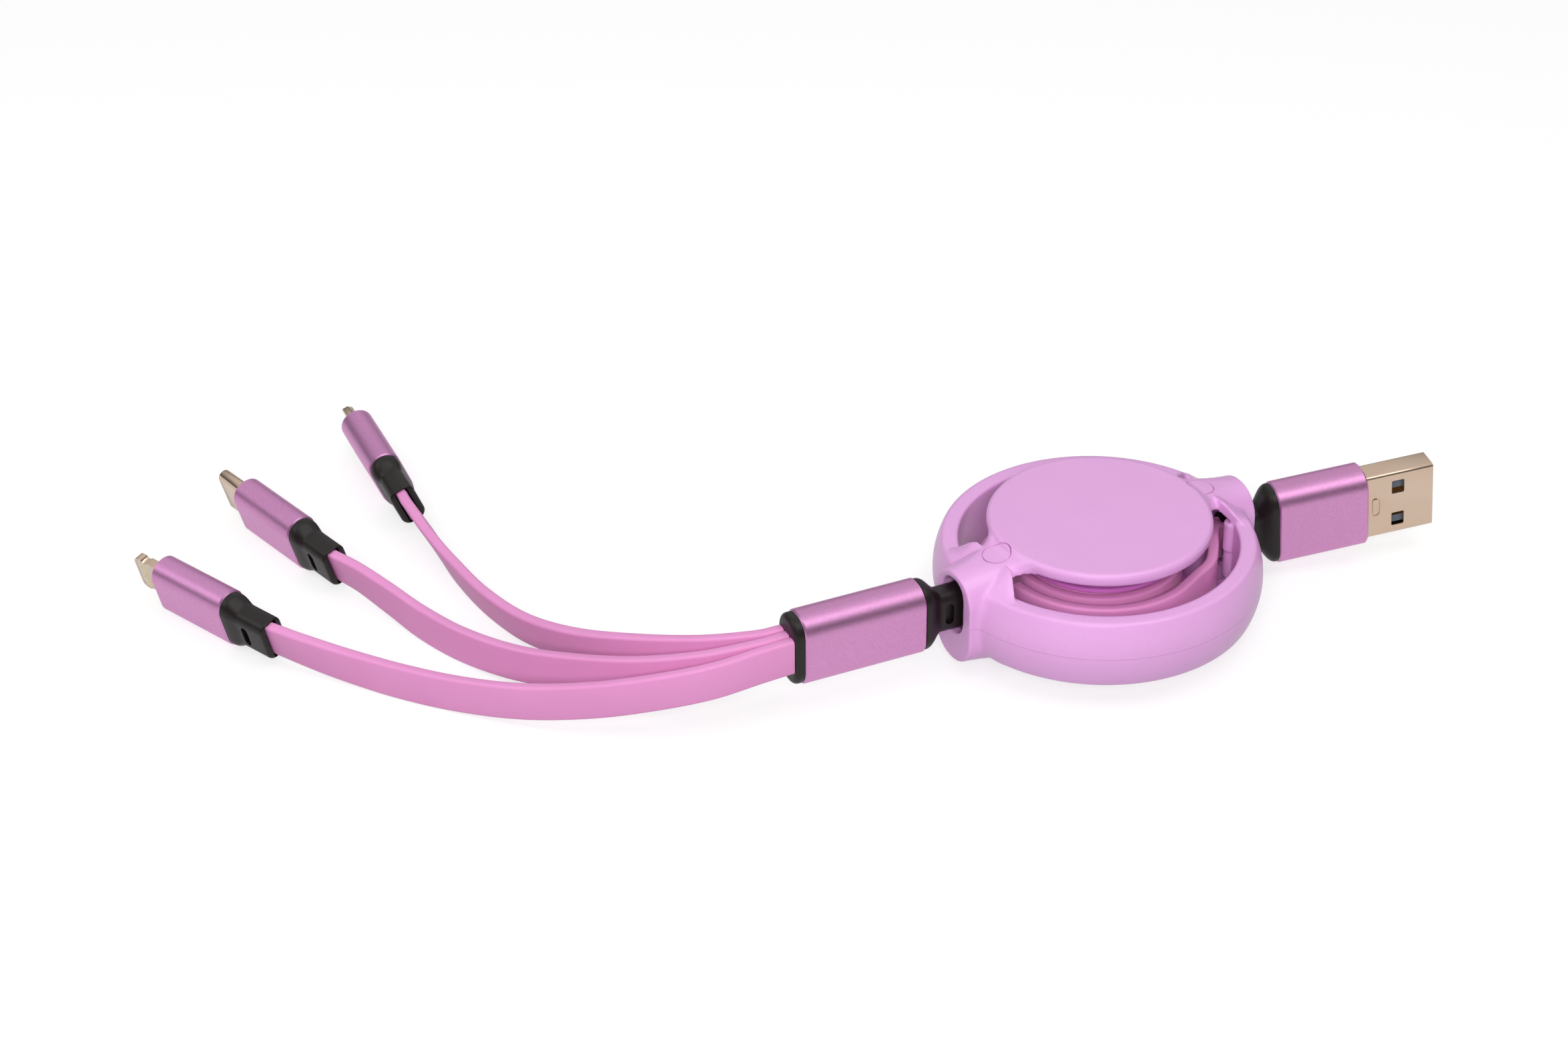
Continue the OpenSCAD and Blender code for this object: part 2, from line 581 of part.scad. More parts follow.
// Spool: hub, two flanges, the cup for the spring below and the ratchet rim above
module spool() {
    bore_r = spindle_r + run_gap;
    color(casing_colour) difference() {
        union() {
            translate([0, 0, flange_lo]) cylinder(h = ratchet_base - flange_lo, r = hub_r);
            for (z = [flange_lo, flange_hi]) translate([0, 0, z]) cylinder(h = flange_t, r = flange_r);
            translate([0, 0, cover_lo + cover_t]) difference() {
                cylinder(h = flange_lo - cover_lo - cover_t + eps, r = cup_r);
                translate([0, 0, -eps]) cylinder(h = flange_lo, r = cup_r - cup_wall);
            }
            translate([0, 0, ratchet_base - eps]) difference() {
                cylinder(h = ratchet_h + eps, r = ratchet_r + 1);
                translate([0, 0, -1]) cylinder(h = ratchet_h + 2, r = ratchet_r);
                for (i = [0:ratchet_notches - 1]) rotate([0, 0, 360 * i / ratchet_notches])
                    translate([0, -ball_d / 2 - ball_gap, -1])
                    cube([2 * ratchet_r, ball_d + 2 * ball_gap, ratchet_h + 2]);
            }
        }
        translate([0, 0, lid_t]) cylinder(h = case_h, r = bore_r);
    }
}

module spring_cover() {
    color(casing_colour) translate([0, 0, cover_lo]) difference() {
        cylinder(h = cover_t, r = cup_r);
        translate([0, 0, -1]) cylinder(h = 3, r = arbor_r + 0.3);
    }
}

// Power spring: a strip wound from the arbor out to the wall of its cup
module power_spring() {
    r0 = arbor_r + 0.1;
    r1 = cup_r - cup_wall - spring_t - 0.05;
    per_turn = 18;
    n = spring_turns * per_turn;
    mid = [for (i = [0:n]) let (a = 360 * i / per_turn, r = r0 + (r1 - r0) * i / n) [a, r]];
    strip = concat([for (m = mid) m[1] * [cos(m[0]), sin(m[0])]],
        [for (i = [n:-1:0]) (mid[i][1] + spring_t) * [cos(mid[i][0]), sin(mid[i][0])]]);
    lo = cover_lo + cover_t + spring_air;
    color(steel_colour) translate([0, 0, lo]) linear_extrude(flange_lo - spring_air - lo) polygon(strip);
}

// Wound tape: the turns as one roll, with the edges of the layers rounded
module wound_tape() {
    pitch = tape_t + layer_gap;
    color(tape_colour) translate([0, 0, tape_lo]) rotate_extrude($fn = 96) difference() {
        translate([hub_r, 0]) square([pack_r - hub_r, tape_w]);
        for (i = [1:pack_layers], z = [0, tape_w]) translate([hub_r + i * pitch, z])
            rotate(45) square(tape_edge, center = true);
    }
}

// Aluminium sleeve along +X with chamfered ends
module sleeve(l, w, h, r) {
    c = sleeve_chamfer;
    color(sleeve_colour) difference() {
        loft([[0, w / 2 - c, h / 2 - c, r - c], [c, w / 2, h / 2, r], [l - c, w / 2, h / 2, r],
            [l, w / 2 - c, h / 2 - c, r - c]]);
        translate([-1, 0, 0]) bar_x(l + 2, w - 2 * sleeve_wall, h - 2 * sleeve_wall, r - sleeve_wall);
    }
}

// Moulded core that fills a sleeve between two depths
module core(x0, x1, w, h, r) {
    in_r = r - sleeve_wall;
    translate([x0, 0, 0]) bar_x(x1 - x0, w - 2 * sleeve_wall, h - 2 * sleeve_wall, in_r);
}

// Black rubber relief behind a sleeve: shoulder, neck and slotted tail with the tape's pocket
plug_in = 1.2;   // how far a relief's root reaches into its sleeve
module strain_relief(l, w, h, r) {
    inset = 0.15;
    root_w = w / 2 - inset;
    root_h = h / 2 - inset;
    blends = 6;
    shoulder = [for (i = [0:blends]) let (t = i / blends, drop = 1 - ease(1 - t) * 1)
        [-shoulder_l * t, root_w + (tail_t / 2 - root_w) * pow(drop, 1.4),
        root_h + (tail_h / 2 - root_h) * pow(drop, 1.4), r + (tail_r - r) * drop]];
    end_round = 0.4;
    rows = concat([[-l, tail_t / 2 - end_round, tail_h / 2 - end_round, tail_r - end_round],
        [-l + end_round, tail_t / 2, tail_h / 2, tail_r]],
        [for (i = [blends:-1:0]) shoulder[i]]);
    color(rubber_colour) difference() {
        union() {
            loft(rows);
            translate([-eps, 0, 0]) bar_x(plug_in + eps, w - 2 * sleeve_wall, h - 2 * sleeve_wall,
                r - sleeve_wall);
        }
        translate([-l, 0, 0]) box_x(-1, pocket_depth, tape_t + 2 * pocket_gap, tape_w + 2 * pocket_gap);
        for (s = [-1, 1]) translate([-slot_from_sleeve, s * (tail_t / 2 + 1 - slot_depth), 0])
            rotate([90, 0, 0]) translate([0, 0, -1]) linear_extrude(2) round_rect(slot_w, slot_h,
                slot_w / 2 - eps);
    }
}
slot_from_sleeve = 4.7;   // place of the slots, behind the sleeve's edge

// Charger plug, along +X from its sleeve's inner end, standing on edge
module in_usb() { placed_at(usb_at, usb_turn) children(); }
usb_tip = usb_l + usb_shell_l;
core_back = 0.4;   // the cores' front faces lie this far inside the sleeves

module usb_a_shell() {
    in_usb() color(steel_colour) difference() {
        translate([usb_l - tip_hold, 0, 0])
            bar_x(usb_shell_l + tip_hold, usb_shell_t, usb_shell_w, 0.6);
        translate([usb_l - tip_hold - 1, 0, 0]) bar_x(usb_tip, usb_shell_t - 2 * shell_sheet,
            usb_shell_w - 2 * shell_sheet, 0.3);
        for (s = [-1, 1]) translate([0, 0, s * latch_off])
            box_x(usb_tip - latch_from_tip - latch_l, usb_tip - latch_from_tip, 2 * usb_shell_t, latch_w);
        // seam and keying dimple near the root of the wide face
        translate([usb_tip - 10.2, -usb_shell_t / 2 - 0.4, 0]) rotate([90, 0, 0])
            translate([0, 0, -0.55]) linear_extrude(1) round_rect(1.15, 3.2, 0.55);
    }
}

tongue_fit = 0.05;   // air between a shell's inside and its insulator
usb_in_w = usb_shell_w - 2 * shell_sheet - 2 * tongue_fit;
usb_in_t = usb_shell_t - 2 * shell_sheet - 2 * tongue_fit;
module usb_a_tongue() {
    root_l = 3;   // solid part of the insulator behind the socket space
    in_usb() color(insert_colour) difference() {
        union() {
            translate([usb_l - tip_hold, 0, 0]) bar_x(root_l, usb_in_t, usb_in_w, 0.2);
            translate([usb_l - tip_hold, usb_in_t / 2 - usb_tongue_t, -usb_in_w / 2 + 0.3])
                cube([usb_tip - usb_tongue_back - usb_l + tip_hold, usb_tongue_t, usb_in_w - 0.6]);
        }
        usb_contact_bars(0.02);
    }
}

// The four contacts lie in grooves of the tongue: the outer two reach further
module usb_contact_bars(grow) {
    y = usb_in_t / 2 - usb_tongue_t;
    for (c = [[-3.5, 1.2], [-1, 2.2], [1, 2.2], [3.5, 1.2]])
        translate([usb_l + 0.4, y - 0.1, c[0] - 0.5 - grow / 2])
            cube([usb_shell_l - 0.4 - c[1] + grow, 0.35 + grow, 1 + grow]);
}
module usb_a_contacts() { in_usb() color(gold_colour) usb_contact_bars(0); }

module usb_a_core() {
    in_usb() color(insert_colour) difference() {
        core(plug_in, usb_l - core_back, usb_t, usb_h, usb_r);
        translate([usb_l - tip_hold, 0, 0]) bar_x(tip_hold + 1, usb_shell_t, usb_shell_w, 0.6);
    }
}
module usb_a_sleeve() { in_usb() sleeve(usb_l, usb_t, usb_h, usb_r); }
module usb_a_strain_relief() { in_usb() strain_relief(lead_relief_l, usb_t, usb_h, usb_r); }
module usb_lead_tape() {
    color(tape_colour) tape_along(lead_path(placed(usb_at, usb_turn, [-lead_relief_l - lead_root_l, 0, 0]),
        placed(usb_at, usb_turn, [-lead_relief_l, 0, 0]),
        placed(usb_at, usb_turn, [lead_pocket_x, 0, 0])));
}

// Splitter, along its own +X from the reel end to the branch end
module in_split() { placed_at(split_at, split_turn) children(); }
module splitter_sleeve() { in_split() sleeve(split_l, split_t, split_h, split_r); }
module splitter_core() {
    in_split() color(insert_colour) core(plug_in, split_l - plug_in, split_t, split_h, split_r);
}
module splitter_end_cap() {
    inset = 0.25;
    c = 0.9;   // rounding of the cap's face
    hw = split_t / 2 - inset;
    hh = split_h / 2 - inset;
    in_split() color(rubber_colour) {
        translate([split_l - plug_in, 0, 0]) bar_x(plug_in + eps, split_t - 2 * sleeve_wall,
            split_h - 2 * sleeve_wall, split_r - sleeve_wall);
        loft([[split_l, hw, hh, split_r - inset], [cap_face_x - c, hw, hh, split_r - inset],
            [cap_face_x - c * 0.3, hw - c * 0.3, hh - c * 0.3, split_r - inset - c * 0.3],
            [cap_face_x, hw - c, hh - c, split_r - inset - c]]);
    }
}
module splitter_strain_relief() { in_split() strain_relief(lead_relief_l, split_t, split_h, split_r); }
module splitter_lead_tape() {
    ends = [for (x = [-lead_relief_l - lead_root_l, -lead_relief_l, lead_pocket_x])
        turn_z(placed(split_at, split_turn, [x, 0, 0]), 180)];
    color(tape_colour) rotate([0, 0, 180]) tape_along(lead_path(ends[0], ends[1], ends[2]));
}

// Pieces that all three branches share
module branch_relief(at, turn) {
    placed_at(at, turn) strain_relief(branch_relief_l, branch_t, branch_h, branch_r);
}
module branch_sleeve(at, turn) { placed_at(at, turn) sleeve(branch_l, branch_t, branch_h, branch_r); }
module branch_tape(i, route, at, turn, share = lean_share) {
    color(tape_colour) tape_along(branch_path(i, route, at, turn), turn[0], share);
}
// Core with a small collar that shows at the sleeve's mouth and a recess for the tip
module branch_core(at, turn, colour) {
    collar = 0.5;
    placed_at(at, turn) color(colour) difference() {
        union() {
            core(plug_in, branch_l - core_back, branch_t, branch_h, branch_r);
            translate([branch_l - core_back - eps, 0, 0]) bar_x(core_back + collar + eps,
                branch_t - 2 * sleeve_wall - 0.4, branch_h - 2 * sleeve_wall - 0.4,
                branch_r - sleeve_wall - 0.2);
        }
        children();
    }
}

// Blade with rounded end and a detent notch in each narrow side
tab_tip = branch_l + tab_l;
module tab_outline(grow) {
    l = tab_l + tip_hold;
    translate([branch_l - tip_hold, -(tab_t + grow) / 2, 0]) rotate([90, 0, 0])
        translate([0, 0, -tab_t - grow]) linear_extrude(tab_t + grow) {
            translate([0, -(tab_w + grow) / 2]) square([l - 1.2, tab_w + grow]);
            translate([0, -tab_w / 2 + 1.2]) square([l, tab_w - 2.4]);
            for (s = [-1, 1]) translate([l - 1.2, s * (tab_w / 2 - 1.2)]) circle(1.2);
        }
}
module tab_window(grow) {
    translate([tab_tip - 3.9 - grow, -tab_t / 2 - 1, -2.7]) cube([2.9 + 2 * grow, tab_t + 2, 5.4]);
}
module tab_blade() {
    notch_r = 0.75;
    placed_at(tab_at, tab_turn) color(steel_colour) difference() {
        tab_outline(0);
        for (s = [-1, 1]) translate([tab_tip - 2.6, 0, s * (tab_w / 2 + notch_r - 0.45)])
            rotate([90, 0, 0]) cylinder(h = 2 * tab_t, r = notch_r, center = true);
        for (s = [-1, 1]) translate([0, s * (tab_t / 2 + 1 - 0.12), 0]) intersection() {
            tab_window(0);
            box_x(tab_tip - 10, tab_tip, 2, tab_w);
        }
    }
}
// Eight flat contacts on each face, in the blade's shallow window
module tab_contacts() {
    placed_at(tab_at, tab_turn) color(gold_colour)
        for (s = [-1, 1], i = [0:7]) translate([tab_tip - 3.6, s * (tab_t / 2 - 0.07) - 0.05,
            (i - 3.5) * tab_pitch - 0.2]) cube([2.3, 0.1, 0.4]);
}
module tab_core() {
    branch_core(tab_at, tab_turn, rubber_colour) tab_outline(0.02);
}
module tab_strain_relief() { branch_relief(tab_at, tab_turn); }
module tab_sleeve() { branch_sleeve(tab_at, tab_turn); }
module tab_branch_tape() { branch_tape(0, tab_route, tab_at, tab_turn); }

// Oval plug: a drawn shell with round narrow sides, and an insulator with a slot for the tongue
oval_tip = branch_l + oval_l;
slot_t = 1;   // gap in the insulator that takes the socket's tongue
module oval_bar(x0, x1, w, t) {
    translate([x0, 0, 0]) bar_x(x1 - x0, t, w, t / 2 - eps);
}
module oval_shell() {
    placed_at(oval_at, oval_turn) color(steel_colour) difference() {
        oval_bar(branch_l - tip_hold, oval_tip, oval_w, oval_t);
        oval_bar(branch_l - tip_hold - 1, oval_tip + 1, oval_w - 2 * shell_sheet,
            oval_t - 2 * shell_sheet);
    }
}
module oval_tongue() {
    back = 0.5;   // the insulator ends short of the shell's mouth
    placed_at(oval_at, oval_turn) color(rubber_colour) difference() {
        oval_bar(branch_l - tip_hold, oval_tip - back, oval_w - 2 * shell_sheet - 2 * tongue_fit,
            oval_t - 2 * shell_sheet - 2 * tongue_fit);
        box_x(branch_l, oval_tip + 1, slot_t, oval_w - 1.6);
    }
}
module oval_contacts() {
    placed_at(oval_at, oval_turn) color(gold_colour) for (s = [-1, 1], i = [0:11])
        translate([branch_l + 1, s * (slot_t / 2 - 0.1) - 0.1, (i - 5.5) * 0.5 - 0.13])
            cube([oval_l - 2, 0.2, 0.26]);
}
module oval_core() {
    branch_core(oval_at, oval_turn, insert_colour)
        oval_bar(branch_l - tip_hold, oval_tip, oval_w, oval_t);
}
module oval_strain_relief() { branch_relief(oval_at, oval_turn); }
module oval_sleeve() { branch_sleeve(oval_at, oval_turn); }
module oval_branch_tape() { branch_tape(1, oval_route, oval_at, oval_turn); }

// Five contact plug: a folded shell with two bevelled corners on one wide side
five_tip = branch_l + five_l;
five_bevel = 0.75;
module five_section(d) {
    w = five_w / 2 - d;
    t = five_t / 2 - d;
    b = five_bevel - 0.4 * d;
    polygon([[t, -w], [t, w], [-t + b, w], [-t, w - b], [-t, -w + b], [-t + b, -w]]);
}
module five_bar(x0, x1, d) {
    translate([x0, 0, 0]) rotate([90, 0, 90]) linear_extrude(x1 - x0) five_section(d);
}
module five_shell() {
    placed_at(five_at, five_turn) color(steel_colour) difference() {
        five_bar(branch_l - tip_hold, five_tip, 0);
        five_bar(branch_l - tip_hold - 1, five_tip + 1, shell_sheet);
        for (s = [-1, 1]) translate([five_tip - 2.9, five_t / 2, s * 1.9])
            cube([1.4, 1, 0.9], center = true);
    }
}
module five_tongue() {
    placed_at(five_at, five_turn) color(rubber_colour) {
        five_bar(branch_l - tip_hold, branch_l, shell_sheet + tongue_fit);
        box_x(branch_l - eps, five_tip - 0.5, 0.45, 3.8);
    }
}
module five_contacts() {
    placed_at(five_at, five_turn) color(gold_colour) for (i = [-2:2])
        translate([branch_l + 0.5, -0.335, i * 0.65 - 0.15]) cube([five_l - 1.2, 0.11, 0.3]);
}
module five_core() {
    branch_core(five_at, five_turn, insert_colour) five_bar(branch_l - tip_hold, five_tip, 0);
}
module five_strain_relief() { branch_relief(five_at, five_turn); }
module five_sleeve() { branch_sleeve(five_at, five_turn); }
module five_branch_tape() { branch_tape(2, five_route, five_at, five_turn, 0.6); }

lower_shell();
upper_shell();
locking_ball();
spool();
spring_cover();
power_spring();
wound_tape();
usb_a_shell();
usb_a_tongue();
usb_a_contacts();
usb_a_core();
usb_a_sleeve();
usb_a_strain_relief();
usb_lead_tape();
splitter_sleeve();
splitter_core();
splitter_end_cap();
splitter_strain_relief();
splitter_lead_tape();
tab_branch_tape();
tab_strain_relief();
tab_sleeve();
tab_core();
tab_blade();
tab_contacts();
oval_branch_tape();
oval_strain_relief();
oval_sleeve();
oval_core();
oval_shell();
oval_tongue();
oval_contacts();
five_branch_tape();
five_strain_relief();
five_sleeve();
five_core();
five_shell();
five_tongue();
five_contacts();
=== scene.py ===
import math
import bmesh
import bpy
from mathutils import Matrix, Vector


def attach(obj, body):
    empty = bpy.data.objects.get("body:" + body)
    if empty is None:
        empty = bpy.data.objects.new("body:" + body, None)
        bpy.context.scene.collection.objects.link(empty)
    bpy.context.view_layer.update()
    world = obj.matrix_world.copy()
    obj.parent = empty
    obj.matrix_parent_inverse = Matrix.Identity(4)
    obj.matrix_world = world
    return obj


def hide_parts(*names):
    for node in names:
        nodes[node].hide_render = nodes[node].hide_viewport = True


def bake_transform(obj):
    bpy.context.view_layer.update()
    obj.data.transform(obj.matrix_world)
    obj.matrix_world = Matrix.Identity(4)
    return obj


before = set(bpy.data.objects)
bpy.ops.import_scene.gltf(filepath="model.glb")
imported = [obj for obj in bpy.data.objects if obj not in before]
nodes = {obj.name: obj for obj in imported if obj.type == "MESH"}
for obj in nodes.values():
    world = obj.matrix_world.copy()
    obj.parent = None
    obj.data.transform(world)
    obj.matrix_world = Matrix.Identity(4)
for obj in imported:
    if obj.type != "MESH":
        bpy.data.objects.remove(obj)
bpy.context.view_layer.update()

mm = 0.001
print("frame loaded:", len(nodes), "nodes")


def addObject(name, data):
    piece = bpy.data.objects.new(name, data)
    bpy.context.collection.objects.link(piece)
    return piece


# standing where the photographer stood, looking 32 degrees down at the whole cable
cameraView = {"place": (-283.0, -388.3, 322.3), "heading": -30.0, "tilt": 57.58, "roll": -0.39, "lens": 80.5}

cameraData = bpy.data.cameras.new("camera")
cameraData.lens = cameraView["lens"]
cameraData.sensor_width = 36
cameraData.sensor_fit = "HORIZONTAL"
cameraData.clip_start = 0.01
camera = addObject("camera", cameraData)
camera.matrix_world = (
    Matrix.Translation(Vector(cameraView["place"]) * mm)
    @ Matrix.Rotation(math.radians(cameraView["heading"]), 4, "Z")
    @ Matrix.Rotation(math.radians(cameraView["tilt"]), 4, "X")
    @ Matrix.Rotation(math.radians(cameraView["roll"]), 4, "Z")
)
bpy.context.scene.camera = camera


# sizes shared by the reel and what hangs on it, in millimetres
reel = {"middle": 10.1, "hornEnd": 27.9, "packRadius": 15.42, "wrapRadius": 16.47, "postAt": 19.8, "postPath": 3.5}
middle = reel["middle"]
tape = {"width": 6.2, "thickness": 1.8, "edge": 0.5}

# each plug's frame: place of its sleeve's inner end, then its lean, rise and heading
plugs = {
    "usb": {"at": (33.7, -2.2, 9.0), "turn": (0, -4.5, -15.3)},
    "splitter": {"at": (-33.9, 1.05, 11.8), "turn": (0, 0, 174.6)},
    "tab": {"at": (-124.2, 64.5, 5.45), "turn": (-14.5, 0, 109.5)},
    "oval": {"at": (-105.3, 79.3, 5.45), "turn": (-16, 0, 100.7)},
    "five": {"at": (-84.5, 90.5, 5.55), "turn": (-22, 0, 83)},
}


def plugFrame(name):
    lean, rise, heading = (math.radians(a) for a in plugs[name]["turn"])
    return (
        Matrix.Translation(plugs[name]["at"])
        @ Matrix.Rotation(heading, 4, "Z")
        @ Matrix.Rotation(rise, 4, "Y")
        @ Matrix.Rotation(lean, 4, "X")
    )


def ease(t):
    t = min(1, max(0, t))
    return t * t * (3 - 2 * t)


def polar(radius, degrees):
    a = math.radians(degrees)
    return radius * math.cos(a), radius * math.sin(a)


def arc(cx, cy, radius, a0, a1, steps):
    turned = [polar(radius, a0 + (a1 - a0) * i / steps) for i in range(steps + 1)]
    return [(cx + x, cy + y) for x, y in turned]


def smoothPath(points, steps):
    out = []
    last = len(points) - 1
    for i in range(last):
        a, b, c, d = points[max(i - 1, 0)], points[i], points[i + 1], points[min(i + 2, last)]
        for s in range(steps):
            t = s / steps
            out.append(0.5 * (2 * b + (c - a) * t + (2 * a - 5 * b + 4 * c - d) * t * t
                + (3 * b - a - 3 * c + d) * t * t * t))
    return out + [points[-1]]


def plugPoint(name, x, y=0, z=0):
    return plugFrame(name) @ Vector((x, y, z))


def flatOutline(halfWidth, halfHeight, radius, steps):
    out = []
    for quarter in range(4):
        signX = 1 if quarter in (0, 3) else -1
        signY = 1 if quarter < 2 else -1
        out += arc(signX * (halfWidth - radius), signY * (halfHeight - radius), radius,
            90 * quarter, 90 * quarter + 90, steps)
    return out


def skin(rings, loop=False):
    # faces over rings of equal length, with flat ends unless the rings close on themselves
    count = len(rings[0])
    points = [p for ring in rings for p in ring]
    faces = []
    for i in range(len(rings) if loop else len(rings) - 1):
        a, b = i * count, ((i + 1) % len(rings)) * count
        for j in range(count):
            k = (j + 1) % count
            faces.append((a + j, a + k, b + k, b + j))
    if not loop:
        faces.append(tuple(reversed(range(count))))
        faces.append(tuple(range((len(rings) - 1) * count, len(rings) * count)))
    return points, faces


def loftRings(rows, steps=14):
    return [[(x, y, z) for y, z in flatOutline(hw, hh, r, steps)] for x, hw, hh, r in rows]


def makeMesh(name, points, faces, place=None):
    # points are in millimetres, in the plug's own frame when a place is given
    mesh = bpy.data.meshes.new(name)
    if place is not None:
        points = [place @ Vector(p) for p in points]
    mesh.from_pydata([tuple(c * mm for c in p) for p in points], [], faces)
    work = bmesh.new()
    work.from_mesh(mesh)
    bmesh.ops.recalc_face_normals(work, faces=work.faces)
    work.to_mesh(mesh)
    work.free()
    return addObject(name, mesh)


def finalMesh(piece):
    graph = bpy.context.evaluated_depsgraph_get()
    return bpy.data.meshes.new_from_object(piece.evaluated_get(graph), depsgraph=graph)


def applyModifiers(piece):
    solid = finalMesh(piece)
    piece.modifiers.clear()
    old = piece.data
    piece.data = solid
    bpy.data.meshes.remove(old)


def combine(piece, others, operation):
    for other in others:
        step = piece.modifiers.new(operation, "BOOLEAN")
        step.operation = operation
        step.solver = "MANIFOLD"
        step.object = other
    applyModifiers(piece)
    for other in others:
        bpy.data.objects.remove(other)


def shade(piece, angle=35):
    piece.data.shade_smooth()
    piece.data.set_sharp_from_angle(angle=math.radians(angle))


# the branch tapes: place in the end cap, knots of the route in millimetres, and the lean of the tape as
# (share of its length, degrees), all fitted to the photo
branches = {
    "tab": {"slot": 0, "twist": [(0, 0), (0.65, 0), (1, -14.5)], "route": [
        (-62, 1.8, 11.5), (-70, 3.2, 10.5), (-78, 7.2, 8.8), (-86, 13, 6.7), (-94, 20.8, 4.6), (-101, 29.2, 3.4),
        (-107.4, 37.4, 3.2), (-113.2, 45.4, 3.6), (-118, 51.4, 4.7)]},
    "oval": {"slot": 1, "twist": [(0, 0), (0.65, 0), (1, -16)], "route": [
        (-61.5, 3.9, 11.5), (-70, 7.1, 10.4), (-78, 13.4, 8.5), (-84.2, 21.8, 6.2), (-89.8, 31.2, 4.2),
        (-94.4, 41.2, 3.3), (-97.4, 50.4, 3.3), (-99.6, 58.8, 4.1), (-101.8, 65.6, 5.1)]},
    "five": {"slot": 2, "twist": [(0, 0), (0.2, 0), (0.46, -14), (0.65, -17), (0.84, -28), (0.94, -27), (1, -22)],
        "route": [(-60.7, 6.3, 11.5), (-68.2, 11, 10.5), (-75, 18.7, 8.7), (-80.4, 28.4, 6.2), (-84, 39.2, 4.1),
            (-85.7, 50.6, 3.3), (-86, 61.8, 3.3), (-85.8, 70.4, 4), (-85.7, 76.8, 5.1)]},
}
branchSizes = {"capFace": 22.8, "pitch": 2, "root": 0.6, "relief": 9.3, "pocket": 6.3, "steps": 10}
# offPack: angle, and how far the tape has left the pack; roundPost: angle, and share of the rise to the plug
leadSizes = {"relief": 9.5, "pocket": 6.5, "root": 1.2, "wrapFrom": -176, "wrapTo": -72, "wrapStep": 4, "steps": 12,
    "offPack": [(-50, 0.5), (-36, 1.9)], "roundPost": [(-75, 0.25), (-38, 0.5)]}


def branchPath(name):
    sizes = branchSizes
    across = -(branches[name]["slot"] - 1) * sizes["pitch"]
    knots = [plugPoint("splitter", sizes["capFace"] + sizes["root"], across)]
    knots += [Vector(p) for p in branches[name]["route"]]
    knots += [plugPoint(name, -sizes["relief"])]
    path = [plugPoint("splitter", sizes["capFace"], across)] + smoothPath(knots, sizes["steps"])
    return path + [plugPoint(name, -sizes["pocket"])]


def leadPath(name, turned):
    # worked out for the +X horn: round the pack, off it, round the post and into the relief
    sizes = leadSizes
    back = Matrix.Rotation(math.pi if turned else 0, 4, "Z")
    ahead, end, inner = (back @ plugPoint(name, -x) for x in
        (sizes["relief"] + sizes["root"], sizes["relief"], sizes["pocket"]))

    def onPack(angle, off):
        return Vector((*polar(reel["wrapRadius"] + off, angle), middle))

    def onPost(angle, z):
        x, y = polar(reel["postPath"], angle)
        return Vector((reel["postAt"] + x, y, z))

    wrap = [onPack(a, 0) for a in range(sizes["wrapFrom"], sizes["wrapTo"] + 1, sizes["wrapStep"])]
    knots = [onPack(*knot) for knot in sizes["offPack"]]
    knots += [onPost(angle, middle + (end.z - middle) * share) for angle, share in sizes["roundPost"]]
    knots += [ahead, end]
    return [back @ p for p in wrap + smoothPath(knots, sizes["steps"]) + [inner]]


def leanAt(twist, s):
    # twist is a list of (share of the length, lean in degrees), eased between its entries
    for (s0, a0), (s1, a1) in zip(twist, twist[1:]):
        if s <= s1:
            return a0 + (a1 - a0) * ease((s - s0) / (s1 - s0))
    return twist[-1][1]


def tapePiece(name, path, twist=((0, 0), (1, 0))):
    # a flat tape on edge with rounded edges, and its length and girth as UV in metres
    half, thick = tape["width"] / 2, tape["thickness"] / 2
    section = flatOutline(thick, half, tape["edge"], 4)
    rings = []
    last = len(path) - 1
    run = [0]
    for i, p in enumerate(path):
        along = (path[min(i + 1, last)] - path[max(i - 1, 0)]).normalized()
        side = Vector((0, 0, 1)).cross(along).normalized()
        up = along.cross(side)
        lean = math.radians(leanAt(twist, i / last))
        across = side * math.cos(lean) + up * math.sin(lean)
        high = up * math.cos(lean) - side * math.sin(lean)
        rings.append([p + across * x + high * y for x, y in section])
        if i:
            run.append(run[-1] + (p - path[i - 1]).length)
    points, faces = skin(rings)
    piece = makeMesh(name, points, faces)
    layer = piece.data.uv_layers.new(name="length")
    count = len(section)
    for face in piece.data.polygons:
        for corner in face.loop_indices:
            vertex = piece.data.loops[corner].vertex_index
            x, y = section[vertex % count]
            layer.data[corner].uv = (run[vertex // count] * mm, y * mm)
    shade(piece)
    return piece


branchTapes = {}
for name in branches:
    branches[name]["path"] = branchPath(name)
    branchTapes[name] = tapePiece("branchTape." + name, branches[name]["path"], branches[name]["twist"])
leadTapes = {"usb": tapePiece("leadTape.usb", leadPath("usb", False)),
    "splitter": tapePiece("leadTape.splitter", leadPath("splitter", True))}
print("tapes laid")


def hexColour(code):
    out = []
    for i in (0, 2, 4):
        v = int(code[i:i + 2], 16) / 255
        out.append(v / 12.92 if v <= 0.04045 else ((v + 0.055) / 1.055) ** 2.4)
    return (*out, 1)


def addNode(tree, kind, settings=None, links=None):
    node = tree.nodes.new(kind)
    for key, value in (settings or {}).items():
        if isinstance(key, int) or key in node.inputs:
            node.inputs[key].default_value = value
        else:
            setattr(node, key, value)
    for key, source in (links or {}).items():
        tree.links.new(source, node.inputs[key])
    return node


def newMaterial(name, values):
    material = bpy.data.materials.new(name)
    material.use_nodes = True
    shader = material.node_tree.nodes["Principled BSDF"]
    for key, value in values.items():
        shader.inputs[key].default_value = value
    return material, material.node_tree, shader


